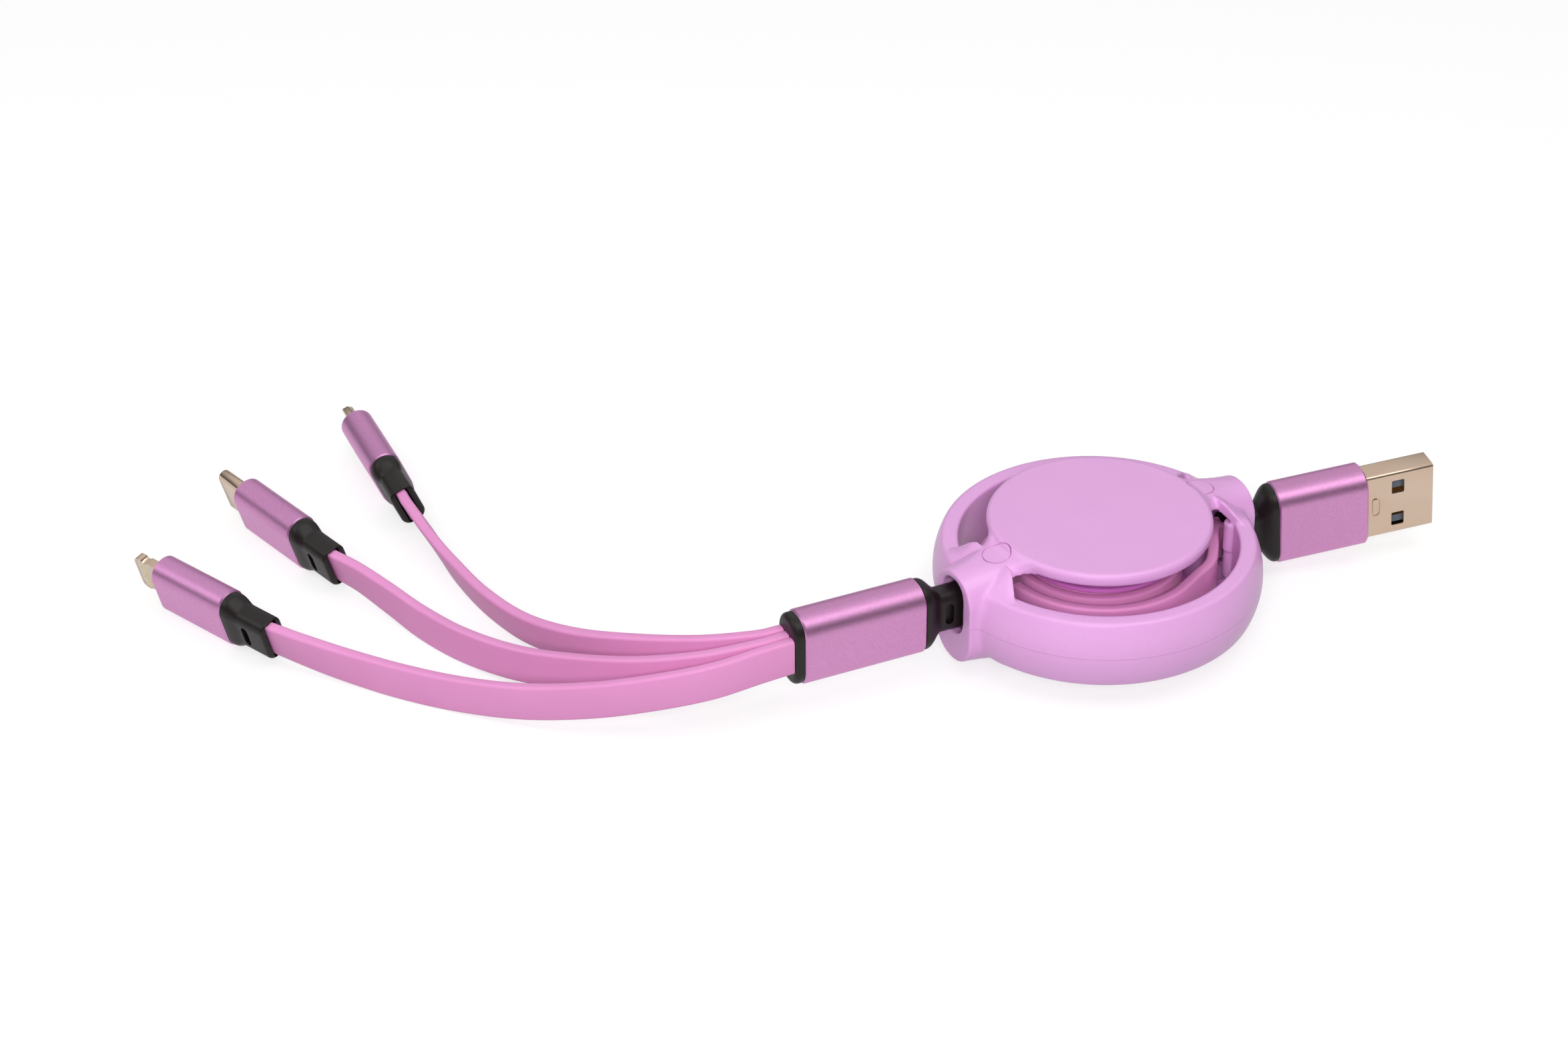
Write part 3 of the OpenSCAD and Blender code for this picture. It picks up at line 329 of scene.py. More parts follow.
def finish(name, colours, patch, grain, depth, rough, base, stretch=1):
    # colour drifts between two shades over patches; grain drives roughness and a fine relief.
    # patch, grain and depth are in millimetres; stretch draws the pattern out along X
    material, tree, shader = newMaterial(name, base)
    where = addNode(tree, "ShaderNodeTexCoord").outputs["Object"]
    drawn = addNode(tree, "ShaderNodeMapping", {"vector_type": "TEXTURE", "Scale": (stretch, 1, 1)}, {"Vector": where})
    patches = addNode(tree, "ShaderNodeTexNoise", {"Scale": 1000 / patch, "Detail": 3},
        {"Vector": drawn.outputs["Vector"]})
    shades = addNode(tree, "ShaderNodeValToRGB", links={"Fac": patches.outputs["Fac"]})
    for element, position, code in zip(shades.color_ramp.elements, (0.3, 0.7), colours):
        element.position, element.color = position, hexColour(code)
    grains = addNode(tree, "ShaderNodeTexNoise", {"Scale": 1000 / grain, "Detail": 2},
        {"Vector": drawn.outputs["Vector"]})
    gloss = addNode(tree, "ShaderNodeMapRange", {
        "From Min": 0.3, "From Max": 0.7, "To Min": rough[0], "To Max": rough[1]}, {"Value": grains.outputs["Fac"]})
    relief = addNode(tree, "ShaderNodeBump", {"Distance": depth * mm}, {"Height": grains.outputs["Fac"]})
    tree.links.new(shades.outputs["Color"], shader.inputs["Base Color"])
    tree.links.new(gloss.outputs["Result"], shader.inputs["Roughness"])
    tree.links.new(relief.outputs["Normal"], shader.inputs["Normal"])
    return material


moulded = {"IOR": 1.53}
metal = {"Metallic": 1.0}
# ABS, moulded in a satin tool: a soft wide gloss over an even lilac pink
casingAbs = finish("moulded ABS, lilac",
    colours=("E6A8E3", "E8ABE5"), patch=9, grain=0.35, depth=0.003, rough=(0.27, 0.34),
    base={"IOR": 1.53, "Coat Weight": 0.15, "Coat Roughness": 0.2})
# the spool and the spring cover take a deeper, more saturated magenta copy of the casing's ABS
spoolAbs = finish("moulded ABS, magenta",
    colours=("D877D0", "DC80D4"), patch=8, grain=0.35, depth=0.003, rough=(0.34, 0.42), base=moulded)
# TPE cable jacket, extruded: softer and pinker than the casing
tapeJacket = finish("extruded TPE jacket, pink",
    colours=("E595CC", "E898CF"), patch=9, grain=0.3, depth=0.004, rough=(0.4, 0.48), base={"IOR": 1.5})
# Aluminium, bead blasted and anodised: the blasting scatters the light into a broad streak with fine sparkle
anodised = finish("blasted anodised aluminium, mauve",
    colours=("DA98CC", "E0A2D2"), patch=0.4, grain=0.2, depth=0.006, rough=(0.36, 0.48), base=metal)
# the same aluminium where the rim was cut after anodising: bare and bright
cutRim = finish("diamond cut aluminium rim",
    colours=("F0DDF0", "F6E8F6"), patch=2, grain=0.2, depth=0.002, rough=(0.16, 0.24), base=metal)
# TPE, overmoulded in a fine matt tool: nearly black with a soft sheen
blackRubber = finish("overmoulded TPE, black",
    colours=("120C0B", "191211"), patch=3, grain=0.28, depth=0.008, rough=(0.36, 0.46),
    base={"IOR": 1.5, "Specular IOR Level": 0.4})
# mild steel sheet, rolled and nickel plated: warm grey with faint rolling lines
platedSteel = finish("rolled steel, nickel plated",
    colours=("D9BEA8", "DEC6B2"), patch=6, grain=0.3, depth=0.0006, rough=(0.19, 0.24), base=metal, stretch=6)
# glass filled nylon, moulded: warm ivory, slightly mottled
ivoryNylon = finish("moulded nylon, ivory",
    colours=("F0ECE3", "F4F1EA"), patch=2.5, grain=0.25, depth=0.006, rough=(0.42, 0.55), base=moulded)
# the same nylon in grey, for the wide plug's tongue
greyNylon = finish("moulded nylon, slate grey",
    colours=("7D8694", "868F9C"), patch=2.5, grain=0.25, depth=0.005, rough=(0.4, 0.5), base=moulded)
# the same nylon in black, for the small insulators
blackNylon = finish("moulded nylon, black",
    colours=("17171A", "1E1E22"), patch=2.5, grain=0.2, depth=0.005, rough=(0.38, 0.5), base=moulded)
# copper alloy strip with a gold flash: yellow and glossy
goldFlash = finish("gold flashed contact strip",
    colours=("E6C888", "EDD296"), patch=1.5, grain=0.2, depth=0.0006, rough=(0.2, 0.27), base=metal)
# hardened spring strip and ball, ground: cool grey
springSteel = finish("ground spring steel",
    colours=("8C8E94", "A3A5AA"), patch=3, grain=0.2, depth=0.003, rough=(0.25, 0.36), base=metal, stretch=5)
print("finishes made")


def give(piece, body, material, slot, *replaced):
    # the closing step of every piece: its finish, its body and the nodes it stands for
    piece.data.materials.clear()
    for m in material if isinstance(material, list) else [material]:
        piece.data.materials.append(m)
    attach(piece, body)
    if replaced:
        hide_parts(*replaced)
    return piece


# the casing's sizes in millimetres, angles in degrees
casing = {"ring": 26.8, "ringHeight": 11.7, "ringWidth": 4.1, "crown": 13, "ringEdge": 0.8, "lip": 0.5,
    "lid": 18.3, "lidThickness": 2.1, "lidEdge": 0.8, "lidLowEdge": 0.3, "neck": 3, "sunk": 0.04,
    "hornWidth": 10.2, "hornHeight": 16.1, "kneeFrom": 15.7, "knee": 20.2, "kneeDrop": 1.15,
    "edgeStart": 0.7, "edgeEnd": 4.9, "plateDrop": 0.8, "post": 2,
    "channelWidth": 7.2, "channelHeight": 12, "channelCorner": 3, "endWall": 1.8,
    "holeWidth": 5.9, "holeHeight": 9.9, "holeCorner": 2.7, "holeUp": 1.95, "holeAside": 0.2,
    "pocketDepth": 2.2, "pocketWidth": 16, "pocketHeight": 9,
    "wall": 20.3, "wallSlope": 0.45, "flareWidth": 10.8, "flarePlate": 2.1, "flareUnder": 0.6,
    "bossTurn": -16.5, "bossRadius": 1.45, "bossTop": 0.7, "lowBoss": 0.85,
    "markRadius": 2.45, "markWidth": 0.22, "markDepth": 0.16, "seam": 0.05,
    "voxel": 0.21, "smoothing": 3, "blending": 80, "blendReach": 3.4, "blendAside": 0.6,
    "blendFrom": 23.2, "blendTo": 26.7, "blendFade": 1.2, "keptShare": 0.62}
ringInner, ringHalf, hornHalf = casing["ring"] - casing["ringWidth"], casing["ringHeight"] / 2, casing["hornWidth"] / 2
axis = 0.0005   # outlines of solids that close on the axis stop this far from it


def turnedSolid(name, outline, steps=192):
    # a closed outline of (radius, height) turned round Z
    rings = [[(*polar(r, 360 * i / steps), z) for r, z in outline] for i in range(steps)]
    return makeMesh(name, *skin(rings, loop=True))


def ringOutline():
    c = casing
    centre = c["ring"] - c["crown"]
    rise = ringHalf - c["ringEdge"]
    edgeX = centre + math.sqrt((c["crown"] - c["ringEdge"]) ** 2 - rise ** 2)
    tip = math.degrees(math.atan2(rise, edgeX - centre))
    points = arc(centre, 0, c["crown"], -tip, tip, 24)
    points += arc(edgeX, rise, c["ringEdge"], tip, 90, 8)
    points += arc(ringInner + c["lip"], ringHalf - c["lip"], c["lip"], 90, 180, 6)
    points += arc(ringInner + c["lip"], c["lip"] - ringHalf, c["lip"], 180, 270, 6)
    points += arc(edgeX, -rise, c["ringEdge"], -90, -tip, 8)
    return [(r, middle + z) for r, z in points]


def lidOutline(sign):
    c = casing
    top, low = middle, middle - c["lidThickness"]
    rim = arc(c["lid"] - c["lidEdge"], top - c["lidEdge"], c["lidEdge"], 0, 90, 8)
    points = [(axis, low), (c["lid"] - c["lidLowEdge"], low), (c["lid"], low + c["lidLowEdge"])] + rim + [(axis, top)]
    return [(r, middle + sign * z) for r, z in points]


def bridgeHeight(x):
    # height over the parting plane, falling from the lid to the mouth
    knee = casing["knee"]
    kneeZ = middle - casing["kneeDrop"]
    if x < knee:
        return middle + (kneeZ - middle) * ease((x - casing["kneeFrom"]) / (knee - casing["kneeFrom"]))
    return kneeZ + (casing["hornHeight"] / 2 - kneeZ) * (x - knee) / (reel["hornEnd"] - knee)


def bridgeRows(steps=26):
    # half width, height over the parting plane and edge radius, from the lid out to the mouth
    c = casing
    neckY = hornHalf + c["neck"]
    neckX = math.sqrt((c["lid"] + c["neck"]) ** 2 - neckY ** 2)
    share = c["lid"] / (c["lid"] + c["neck"])
    hornX = reel["hornEnd"]
    start = neckX * share
    rows = []
    places = [start - 2.5, start - 1] + [start + (neckX - start) * i / 14 for i in range(15)]
    places += [neckX + (hornX - neckX) * i / steps for i in range(1, steps + 1)]
    for x in places:
        if x <= start:
            width = neckY * x / neckX - c["sunk"]
        elif x < neckX:
            width = neckY - math.sqrt(max(0, c["neck"] ** 2 - (neckX - x) ** 2))
        else:
            width = hornHalf
        height = bridgeHeight(x)
        t = max(0, x - start) / (hornX - start)
        edge = c["edgeStart"] + (c["edgeEnd"] - c["edgeStart"]) * (1 - (1 - t) ** 2)
        rows.append((x, width, height - (c["sunk"] if x < neckX else 0), edge))
    return rows


def bridgeSolid(side, sign):
    rings = []
    for x, width, height, edge in bridgeRows():
        profile = [(-width, -0.2), (width, -0.2)]
        profile += arc(width - edge, height - edge, edge, 0, 90, 10)
        profile += arc(edge - width, height - edge, edge, 90, 180, 10)
        rings.append([(side * x, y, middle + sign * z) for y, z in profile])
    piece = makeMesh("bridge", *skin(rings))
    underside = middle - casing["lidThickness"] - casing["plateDrop"]
    lidUnder = middle - casing["lidThickness"]
    window = ringInner + 0.2
    # its underside rises to meet the lid's
    outline = [(axis, -1), (window, -1), (window, underside), (casing["lid"] + 2.2, underside),
        (casing["lid"] - 0.6, lidUnder), (axis, lidUnder)]
    cutter = turnedSolid("cutter", [(r, middle + sign * z) for r, z in outline], 128)
    combine(piece, [cutter], "DIFFERENCE")
    return piece


def barAlongX(name, x0, x1, width, height, radius, z, y=0, steps=10):
    rings = [[(x, y + w, z + h) for w, h in flatOutline(width / 2, height / 2, radius, steps)] for x in (x0, x1)]
    return makeMesh(name, *skin(rings))


def upright(name, x, y, z0, z1, radius, steps=48):
    rings = [[(px, py, z) for px, py in arc(x, y, radius, 0, 360, steps)[:-1]] for z in (z0, z1)]
    return makeMesh(name, *skin(rings))


def shoulderTop(x, y):
    c = casing
    rest = ringHalf - 0.25
    flat = hornHalf - 0.4
    outward = ease((x - c["wall"]) / (c["ring"] - 1.2 - c["wall"]))
    sunk = ease((abs(y) - flat) / (c["flareWidth"] - flat))
    return rest + (bridgeHeight(x) - 0.1 - rest) * (1 - outward) * (1 - sunk)


def shoulderSolid(side, sign, drop, back, low, rows=60, columns=14):
    # the ring's top rises beside a bridge to the bridge's edges, up to a wall across the window
    c = casing
    reach = c["ring"] - 1.4
    rings = []
    for i in range(rows + 1):
        y = c["flareWidth"] * (2 * i / rows - 1)
        x0 = c["wall"] + c["wallSlope"] * max(0, abs(y) - hornHalf) - back
        x1 = math.sqrt(reach ** 2 - y ** 2)
        places = [x0 + (x1 - x0) * k / columns for k in range(columns + 1)]
        line = [(x0, low), *((x, shoulderTop(max(x, c["wall"]), y) - drop) for x in places), (x1, low)]
        rings.append([(side * x, y, middle + sign * z) for x, z in line])
    return makeMesh("shoulder", *skin(rings))


def shoulderPiece(side, sign):
    c = casing
    low = ringHalf - c["flareUnder"]
    piece = shoulderSolid(side, sign, 0, 0, low)
    under = shoulderSolid(side, sign, c["flarePlate"], 1, low - c["flarePlate"] - 1)
    limit = upright("limit", 0, 0, middle - 12, middle + 12, ringInner + 0.2, 128)
    combine(under, [limit], "INTERSECT")
    combine(piece, [under], "DIFFERENCE")
    return piece


def wallBoss(side, sign):
    # half-round boss on the ring's inner wall beside each end of the window
    c = casing
    x, y = polar(side * (ringInner + 0.3), c["bossTurn"])
    top = middle + sign * (ringHalf - c["bossTop"])
    radius = c["bossRadius"] * (1 if sign > 0 else c["lowBoss"])
    return upright("boss", x, y, min(top, middle), max(top, middle), radius)


def casingWhole():
    c = casing
    whole = turnedSolid("casing", ringOutline())
    parts = [turnedSolid("lid", lidOutline(sign)) for sign in (1, -1)]
    for side in (1, -1):
        for sign in (1, -1):
            parts += [bridgeSolid(side, sign), shoulderPiece(side, sign)]
    combine(whole, parts, "UNION")
    cutters = []
    for side in (1, -1):
        wall = reel["hornEnd"] - c["endWall"]
        cutters.append(barAlongX("channel", side * (ringInner - 1), side * wall, c["channelWidth"], c["channelHeight"],
            c["channelCorner"], middle))
        # the two shells are one moulding turned over, so the holes lie at opposite heights
        cutters.append(barAlongX("hole", side * (wall - 1), side * (wall + 9), c["holeWidth"], c["holeHeight"],
            c["holeCorner"], middle - side * c["holeUp"], -side * c["holeAside"]))
        pocket = barAlongX("pocket", side * (ringInner - 6), side * (ringInner + 4), c["pocketWidth"],
            c["pocketHeight"], 1, middle)
        combine(pocket, [upright("limit", 0, 0, 0, 22, ringInner + c["pocketDepth"], 128)], "INTERSECT")
        cutters.append(pocket)
    combine(whole, cutters, "DIFFERENCE")
    plate = middle - c["lidThickness"] - c["plateDrop"] + 0.6
    posts = [upright("post", side * reel["postAt"], 0, middle - plate, middle + plate, c["post"])
        for side in (1, -1)]
    bosses = [wallBoss(side, sign) for side in (1, -1) for sign in (1, -1)]
    combine(whole, posts + bosses, "UNION")
    return whole


def roundMark(side, sign):
    # cutter for the thin round mark pressed into a bridge over its post
    c = casing
    at = reel["postAt"]
    slope = math.atan2(bridgeHeight(at - c["markRadius"]) - bridgeHeight(at + c["markRadius"]), 2 * c["markRadius"])
    inner, outer = c["markRadius"] - c["markWidth"], c["markRadius"]
    piece = turnedSolid("mark", [(inner, -c["markDepth"]), (outer, -c["markDepth"]), (outer, 0.8), (inner, 0.8)], 64)
    place = (Matrix.Translation(Vector((side * at, 0, middle + sign * bridgeHeight(at))) * mm)
        @ Matrix.Rotation(side * sign * slope, 4, "Y"))
    if sign < 0:
        place = place @ Matrix.Rotation(math.pi, 4, "X")
    piece.data.transform(place)
    return piece


whole = casingWhole()
print("casing solid:", len(whole.data.polygons), "faces")
remesh = whole.modifiers.new("even skin", "REMESH")
remesh.mode = "VOXEL"
remesh.voxel_size = casing["voxel"] * mm
applyModifiers(whole)

# the hollow between a horn and the ring is blended far more than the other edges
blended = whole.vertex_groups.new(name="blend")
for vertex in whole.data.vertices:
    x, y, z = (abs(v) / mm for v in (vertex.co.x, vertex.co.y, vertex.co.z - middle * mm))
    across = 1 - ease(abs(y - hornHalf - casing["blendAside"]) / casing["blendReach"])
    outward = ease((math.hypot(x, y) - casing["blendFrom"]) / casing["blendFade"])
    weight = across * outward * (1 - ease((x - casing["blendTo"]) / casing["blendFade"]))
    if weight > 0.01 and x > casing["knee"] - 0.2:
        blended.add([vertex.index], weight, "REPLACE")
for iterations, group in ((casing["blending"], "blend"), (casing["smoothing"], "")):
    smooth = whole.modifiers.new("soft edges", "SMOOTH")
    smooth.factor = 0.5
    smooth.iterations = iterations
    smooth.vertex_group = group
# flat stretches are thinned out, so that each shell stays well under 200,000 triangles
thin = whole.modifiers.new("thin flat stretches", "DECIMATE")
thin.ratio = casing["keptShare"]
applyModifiers(whole)
print("casing skin:", len(whole.data.polygons), "faces")

# the spool: hub, flanges, the spring's cup below and the notched ratchet rim above
spoolSizes = {"bore": 1.82, "hub": 4.5, "lowFlange": 14.8, "topFlange": 13.2, "flange": 0.8, "base": 5.8, "top": 14.4,
    "cup": 13.6, "cupWall": 0.9, "cupFrom": 3.0, "rim": 8.2, "rimWall": 1.0, "rimHeight": 1.2,
    "notches": 4, "notchWidth": 2.8, "round": 0.25}


def spoolPiece():
    z = spoolSizes
    base, top, b = z["base"], z["top"], z["round"]

    def flangeEdge(radius, low):
        return arc(radius - b, low + b, b, -90, 0, 3) + arc(radius - b, low + z["flange"] - b, b, 0, 90, 3)

    cupIn = z["cup"] - z["cupWall"]
    outline = [(z["bore"], base), (cupIn, base), (cupIn, z["cupFrom"]),
        (z["cup"], z["cupFrom"]), (z["cup"], base), (z["lowFlange"] - b, base)]
    outline += flangeEdge(z["lowFlange"], base)
    outline += [(z["hub"], base + z["flange"]), (z["hub"], top - z["flange"])]
    outline += flangeEdge(z["topFlange"], top - z["flange"])
    rimTop, rimOut = top + z["rimHeight"], z["rim"] + z["rimWall"]
    outline += [(rimOut, top), (rimOut, rimTop), (z["rim"], rimTop), (z["rim"], top), (z["bore"], top)]
    piece = turnedSolid("spool", outline)
    cutters = []
    for i in range(z["notches"]):
        notch = barAlongX("notch", z["rim"] - 0.5, rimOut + 0.5, z["notchWidth"], z["rimHeight"] + 0.8,
            0.1, top + z["rimHeight"] / 2 + 0.42, steps=1)
        notch.data.transform(Matrix.Rotation(2 * math.pi * i / z["notches"], 4, "Z"))
        cutters.append(notch)
    combine(piece, cutters, "DIFFERENCE")
    shade(piece, 35)
    return give(piece, "spool", spoolAbs, "casing", "spool")


spoolPiece()

for name, sign in (("upper_shell", 1), ("lower_shell", -1)):
    half = addObject("shell." + name, whole.data.copy())
    near = middle + sign * casing["seam"] / 2
    # a block over all of the half that stays
    keep = barAlongX("keep", -40, 40, 80, 12, 0.5, near + sign * 6, steps=2)
    combine(half, [keep], "INTERSECT")
    combine(half, [roundMark(side, sign) for side in (1, -1)], "DIFFERENCE")
    shade(half, 50)
    give(half, "casing", casingAbs, "casing", name)
bpy.data.objects.remove(whole)
print("casing split into its two shells")

for name, piece in branchTapes.items():
    give(piece, "splitter_lead", tapeJacket, "tape", name + "_branch_tape")
for name, piece in leadTapes.items():
    # the tape stays with the pack up to the mouth, and runs out of the horn with its plug
    piece.data.materials.append(tapeJacket)
    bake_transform(piece)
    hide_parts(name + "_lead_tape")


def newTree(name, *inputs):
    tree = bpy.data.node_groups.new(name, "GeometryNodeTree")
    tree.interface.new_socket("Geometry", in_out="OUTPUT", socket_type="NodeSocketGeometry")
    for label in inputs:
        kind = "Int" if label == "Count" else "Float"
        tree.interface.new_socket(label, in_out="INPUT", socket_type="NodeSocket" + kind)
    return tree, addNode(tree, "NodeGroupInput").outputs


def endTree(tree, geometry, material):
    plain = addNode(tree, "GeometryNodeRealizeInstances", links={"Geometry": geometry})
    finished = addNode(tree, "GeometryNodeSetMaterial", {"Material": material}, {"Geometry": plain.outputs[0]})
    addNode(tree, "NodeGroupOutput", links={"Geometry": finished.outputs[0]})


def growMesh(tree, values):
    # runs a tree on an empty mesh and gives back its result as a plain mesh
    seed = addObject("seed", bpy.data.meshes.new("seed"))
    step = seed.modifiers.new("grow", "NODES")
    step.node_group = tree
    for item in tree.interface.items_tree:
        if item.in_out == "INPUT":
            step[item.identifier] = values[item.name]
    mesh = finalMesh(seed)
    bpy.data.objects.remove(seed)
    return mesh


def roundedBox(tree, width, height, radius, count):
    box = addNode(tree, "GeometryNodeCurvePrimitiveQuadrilateral", links={"Width": width, "Height": height})
    return addNode(tree, "GeometryNodeFilletCurve", {"mode": "POLY", "Count": count},
        {"Curve": box.outputs[0], "Radius": radius}).outputs[0]


def spiralTree(material):
    # a strip with rounded edges, wound in the plane of the reel
    tree, given = newTree("wound strip", "Turns", "Inner radius", "Outer radius", "Strip width", "Strip thickness",
        "Edge", "Height")
    line = addNode(tree, "GeometryNodeCurveSpiral", {"Resolution": 96, "Height": 0.0},
        {"Rotations": given["Turns"], "Start Radius": given["Inner radius"],
            "End Radius": given["Outer radius"]})
    facing = addNode(tree, "GeometryNodeSetCurveNormal", {"mode": "Z_UP"}, {"Curve": line.outputs[0]})
    section = roundedBox(tree, given["Strip thickness"], given["Strip width"], given["Edge"], 5)
    strip = addNode(tree, "GeometryNodeCurveToMesh", {"Fill Caps": True},
        {"Curve": facing.outputs[0], "Profile Curve": section})
    lift = addNode(tree, "ShaderNodeCombineXYZ", links={"Z": given["Height"]})
    placed = addNode(tree, "GeometryNodeTransform", links={"Geometry": strip.outputs[0],
        "Translation": lift.outputs[0]})
    endTree(tree, placed.outputs[0], material)
    return tree


def barRowTree(material):
    # flat bars with rounded ends, side by side along Y and as thick as they stand over Z = 0
    tree, given = newTree("row of contacts", "Count", "Pitch", "Length", "Width", "Thickness", "Corner")
    outline = roundedBox(tree, given["Length"], given["Width"], given["Corner"], 4)
    face = addNode(tree, "GeometryNodeFillCurve", {"mode": "NGONS"}, {"Curve": outline})
    raised = addNode(tree, "GeometryNodeExtrudeMesh", {"Individual": False},
        {"Mesh": face.outputs[0], "Offset Scale": given["Thickness"]})
    base = addNode(tree, "GeometryNodeFlipFaces", links={"Mesh": face.outputs[0]})
    joined = addNode(tree, "GeometryNodeJoinGeometry")
    tree.links.new(raised.outputs[0], joined.inputs[0])
    tree.links.new(base.outputs[0], joined.inputs[0])
    closed = addNode(tree, "GeometryNodeMergeByDistance", {"Distance": 1e-7}, {"Geometry": joined.outputs[0]})
    step = addNode(tree, "ShaderNodeCombineXYZ", links={"Y": given["Pitch"]})
    row = addNode(tree, "GeometryNodeMeshLine", links={"Count": given["Count"], "Offset": step.outputs[0]})
    bars = addNode(tree, "GeometryNodeInstanceOnPoints", links={"Points": row.outputs[0],
        "Instance": closed.outputs[0]})
    endTree(tree, bars.outputs[0], material)
    return tree


woundTape = {"Turns": 5.0, "Inner radius": 5.41 * mm, "Outer radius": 14.5 * mm, "Strip width": tape["width"] * mm,
    "Strip thickness": tape["thickness"] * mm, "Edge": tape["edge"] * mm, "Height": middle * mm}
pack = addObject("woundTape", growMesh(spiralTree(tapeJacket), woundTape))
shade(pack, 40)
give(pack, "spool", tapeJacket, "tape", "wound_tape")
print("wound tape:", [round(v * 1000, 2) for v in pack.dimensions])


# sleeves and strain reliefs
sleeves = {
    "usb": {"length": 15.8, "height": 14.2, "thickness": 7.5, "corner": 3, "relief": 9.5,
        "nodes": ("usb_a_sleeve", "usb_a_strain_relief"), "body": "usb_lead"},
    "splitter": {"length": 21.2, "height": 12.5, "thickness": 7.5, "corner": 3.3, "relief": 9.5,
        "nodes": ("splitter_sleeve", "splitter_strain_relief"), "body": "splitter_lead"},
}
for name in ("tab", "oval", "five"):
    sleeves[name] = {"length": 16.4, "height": 10.6, "thickness": 5.7, "corner": 2.7, "relief": 9.3,
        "nodes": (name + "_sleeve", name + "_strain_relief"), "body": "splitter_lead"}
sleeveWall = {"wall": 0.8, "chamfer": 0.3}
reliefSizes = {"shoulder": 3.4, "tailThickness": 4.4, "tailHeight": 7.4, "tailCorner": 1.6, "inset": 0.15,
    "endRound": 0.5, "pocket": 3, "pocketGap": 0.3, "slotLength": 1.45, "slotHeight": 3.8,
    "slotDepth": 0.9, "slotFrom": 4.7, "root": 1.2}


def prism(name, outline, x, z, levels, place=None):
    # an outline in the plane of a plug's face, at x and z, drawn between two levels of y
    return makeMesh(name, *skin([[(x + along, y, z + h) for along, h in outline] for y in levels]), place=place)


def toPlug(piece, name):
    # moves a mesh made in a plug's own frame to its place
    place = plugFrame(name)
    place.translation *= mm
    piece.data.transform(place)
    piece.data.update()


def sleeveSection(name, inset):
    s = sleeves[name]
    return s["thickness"] / 2 - inset, s["height"] / 2 - inset, s["corner"] - inset


def sleevePiece(name):
    s, c, wall = sleeves[name], sleeveWall["chamfer"], sleeveWall["wall"]
    l = s["length"]
    rows = [(x, *sleeveSection(name, inset)) for x, inset in
        ((0, c), (c, 0), (l - c, 0), (l, c), (l, wall), (0, wall))]
    rings = loftRings(rows, 16)
    piece = makeMesh("sleeve." + name, *skin(rings, loop=True), place=plugFrame(name))
    for face in piece.data.polygons:
        face.material_index = 0 if face.index // len(rings[0]) in (1, 4) else 1
    shade(piece, 30)
    return give(piece, s["body"], [anodised, cutRim], "sleeve", s["nodes"][0])


def reliefPiece(name):
    s, z = sleeves[name], reliefSizes
    l = s["relief"]
    rootW, rootH, _ = sleeveSection(name, z["inset"])
    tailW, tailH, tailR, er = z["tailThickness"] / 2, z["tailHeight"] / 2, z["tailCorner"], z["endRound"]
    rows = []
    for i in range(7):
        a = math.radians(90 * i / 6)
        inward = er * (1 - math.sin(a))
        rows.append((-l + er * (1 - math.cos(a)), tailW - inward, tailH - inward, tailR - inward))
    for i in range(18, -1, -1):
        t = i / 18
        drop = 1 - ease(1 - t)
        rows.append((-z["shoulder"] * t, rootW + (tailW - rootW) * drop ** 1.4, rootH + (tailH - rootH) * drop ** 1.4,
            s["corner"] + (tailR - s["corner"]) * drop))
    wall = sleeveWall["wall"]
    rows.append((0.02, rootW - 0.7, rootH - 0.7, s["corner"] - wall))
    rows.append((z["root"], *sleeveSection(name, wall)))
    piece = makeMesh("relief." + name, *skin(loftRings(rows, 12)))
    gap = z["pocketGap"]
    pocket = barAlongX("pocket", -l - 1, -l + z["pocket"], tape["thickness"] + 2 * gap, tape["width"] + 2 * gap,
        0.4, 0, steps=4)
    cutters = [pocket]
    for side in (1, -1):
        face = side * tailW
        outline = flatOutline(z["slotLength"] / 2, z["slotHeight"] / 2, z["slotLength"] / 2 - 0.01, 6)
        cutters.append(prism("slot", outline, -z["slotFrom"], 0, (face - side * z["slotDepth"], face + side)))
    combine(piece, cutters, "DIFFERENCE")
    toPlug(piece, name)
    shade(piece, 38)
    return give(piece, s["body"], blackRubber, "black_rubber", s["nodes"][1])


for name in sleeves:
    sleevePiece(name)
    reliefPiece(name)

endCap = {"inset": 0.25, "proud": 1.6, "round": 0.9, "root": 1.2}


def endCapPiece():
    s, z = sleeves["splitter"], endCap
    hw, hh, r = sleeveSection("splitter", z["inset"])
    bore = sleeveSection("splitter", sleeveWall["wall"])
    l, face = s["length"], s["length"] + z["proud"]
    rows = [(l - z["root"], *bore), (l - 0.01, *bore), (l, hw, hh, r)]
    for i in range(9):
        a = math.radians(90 * i / 8)
        inward = z["round"] * (1 - math.cos(a))
        rows.append((face - z["round"] * (1 - math.sin(a)), hw - inward, hh - inward, r - inward))
    piece = makeMesh("endCap", *skin(loftRings(rows, 14)), place=plugFrame("splitter"))
    shade(piece, 40)
    return give(piece, "splitter_lead", blackRubber, "black_rubber", "splitter_end_cap")


endCapPiece()
print("sleeves, reliefs and end cap made")


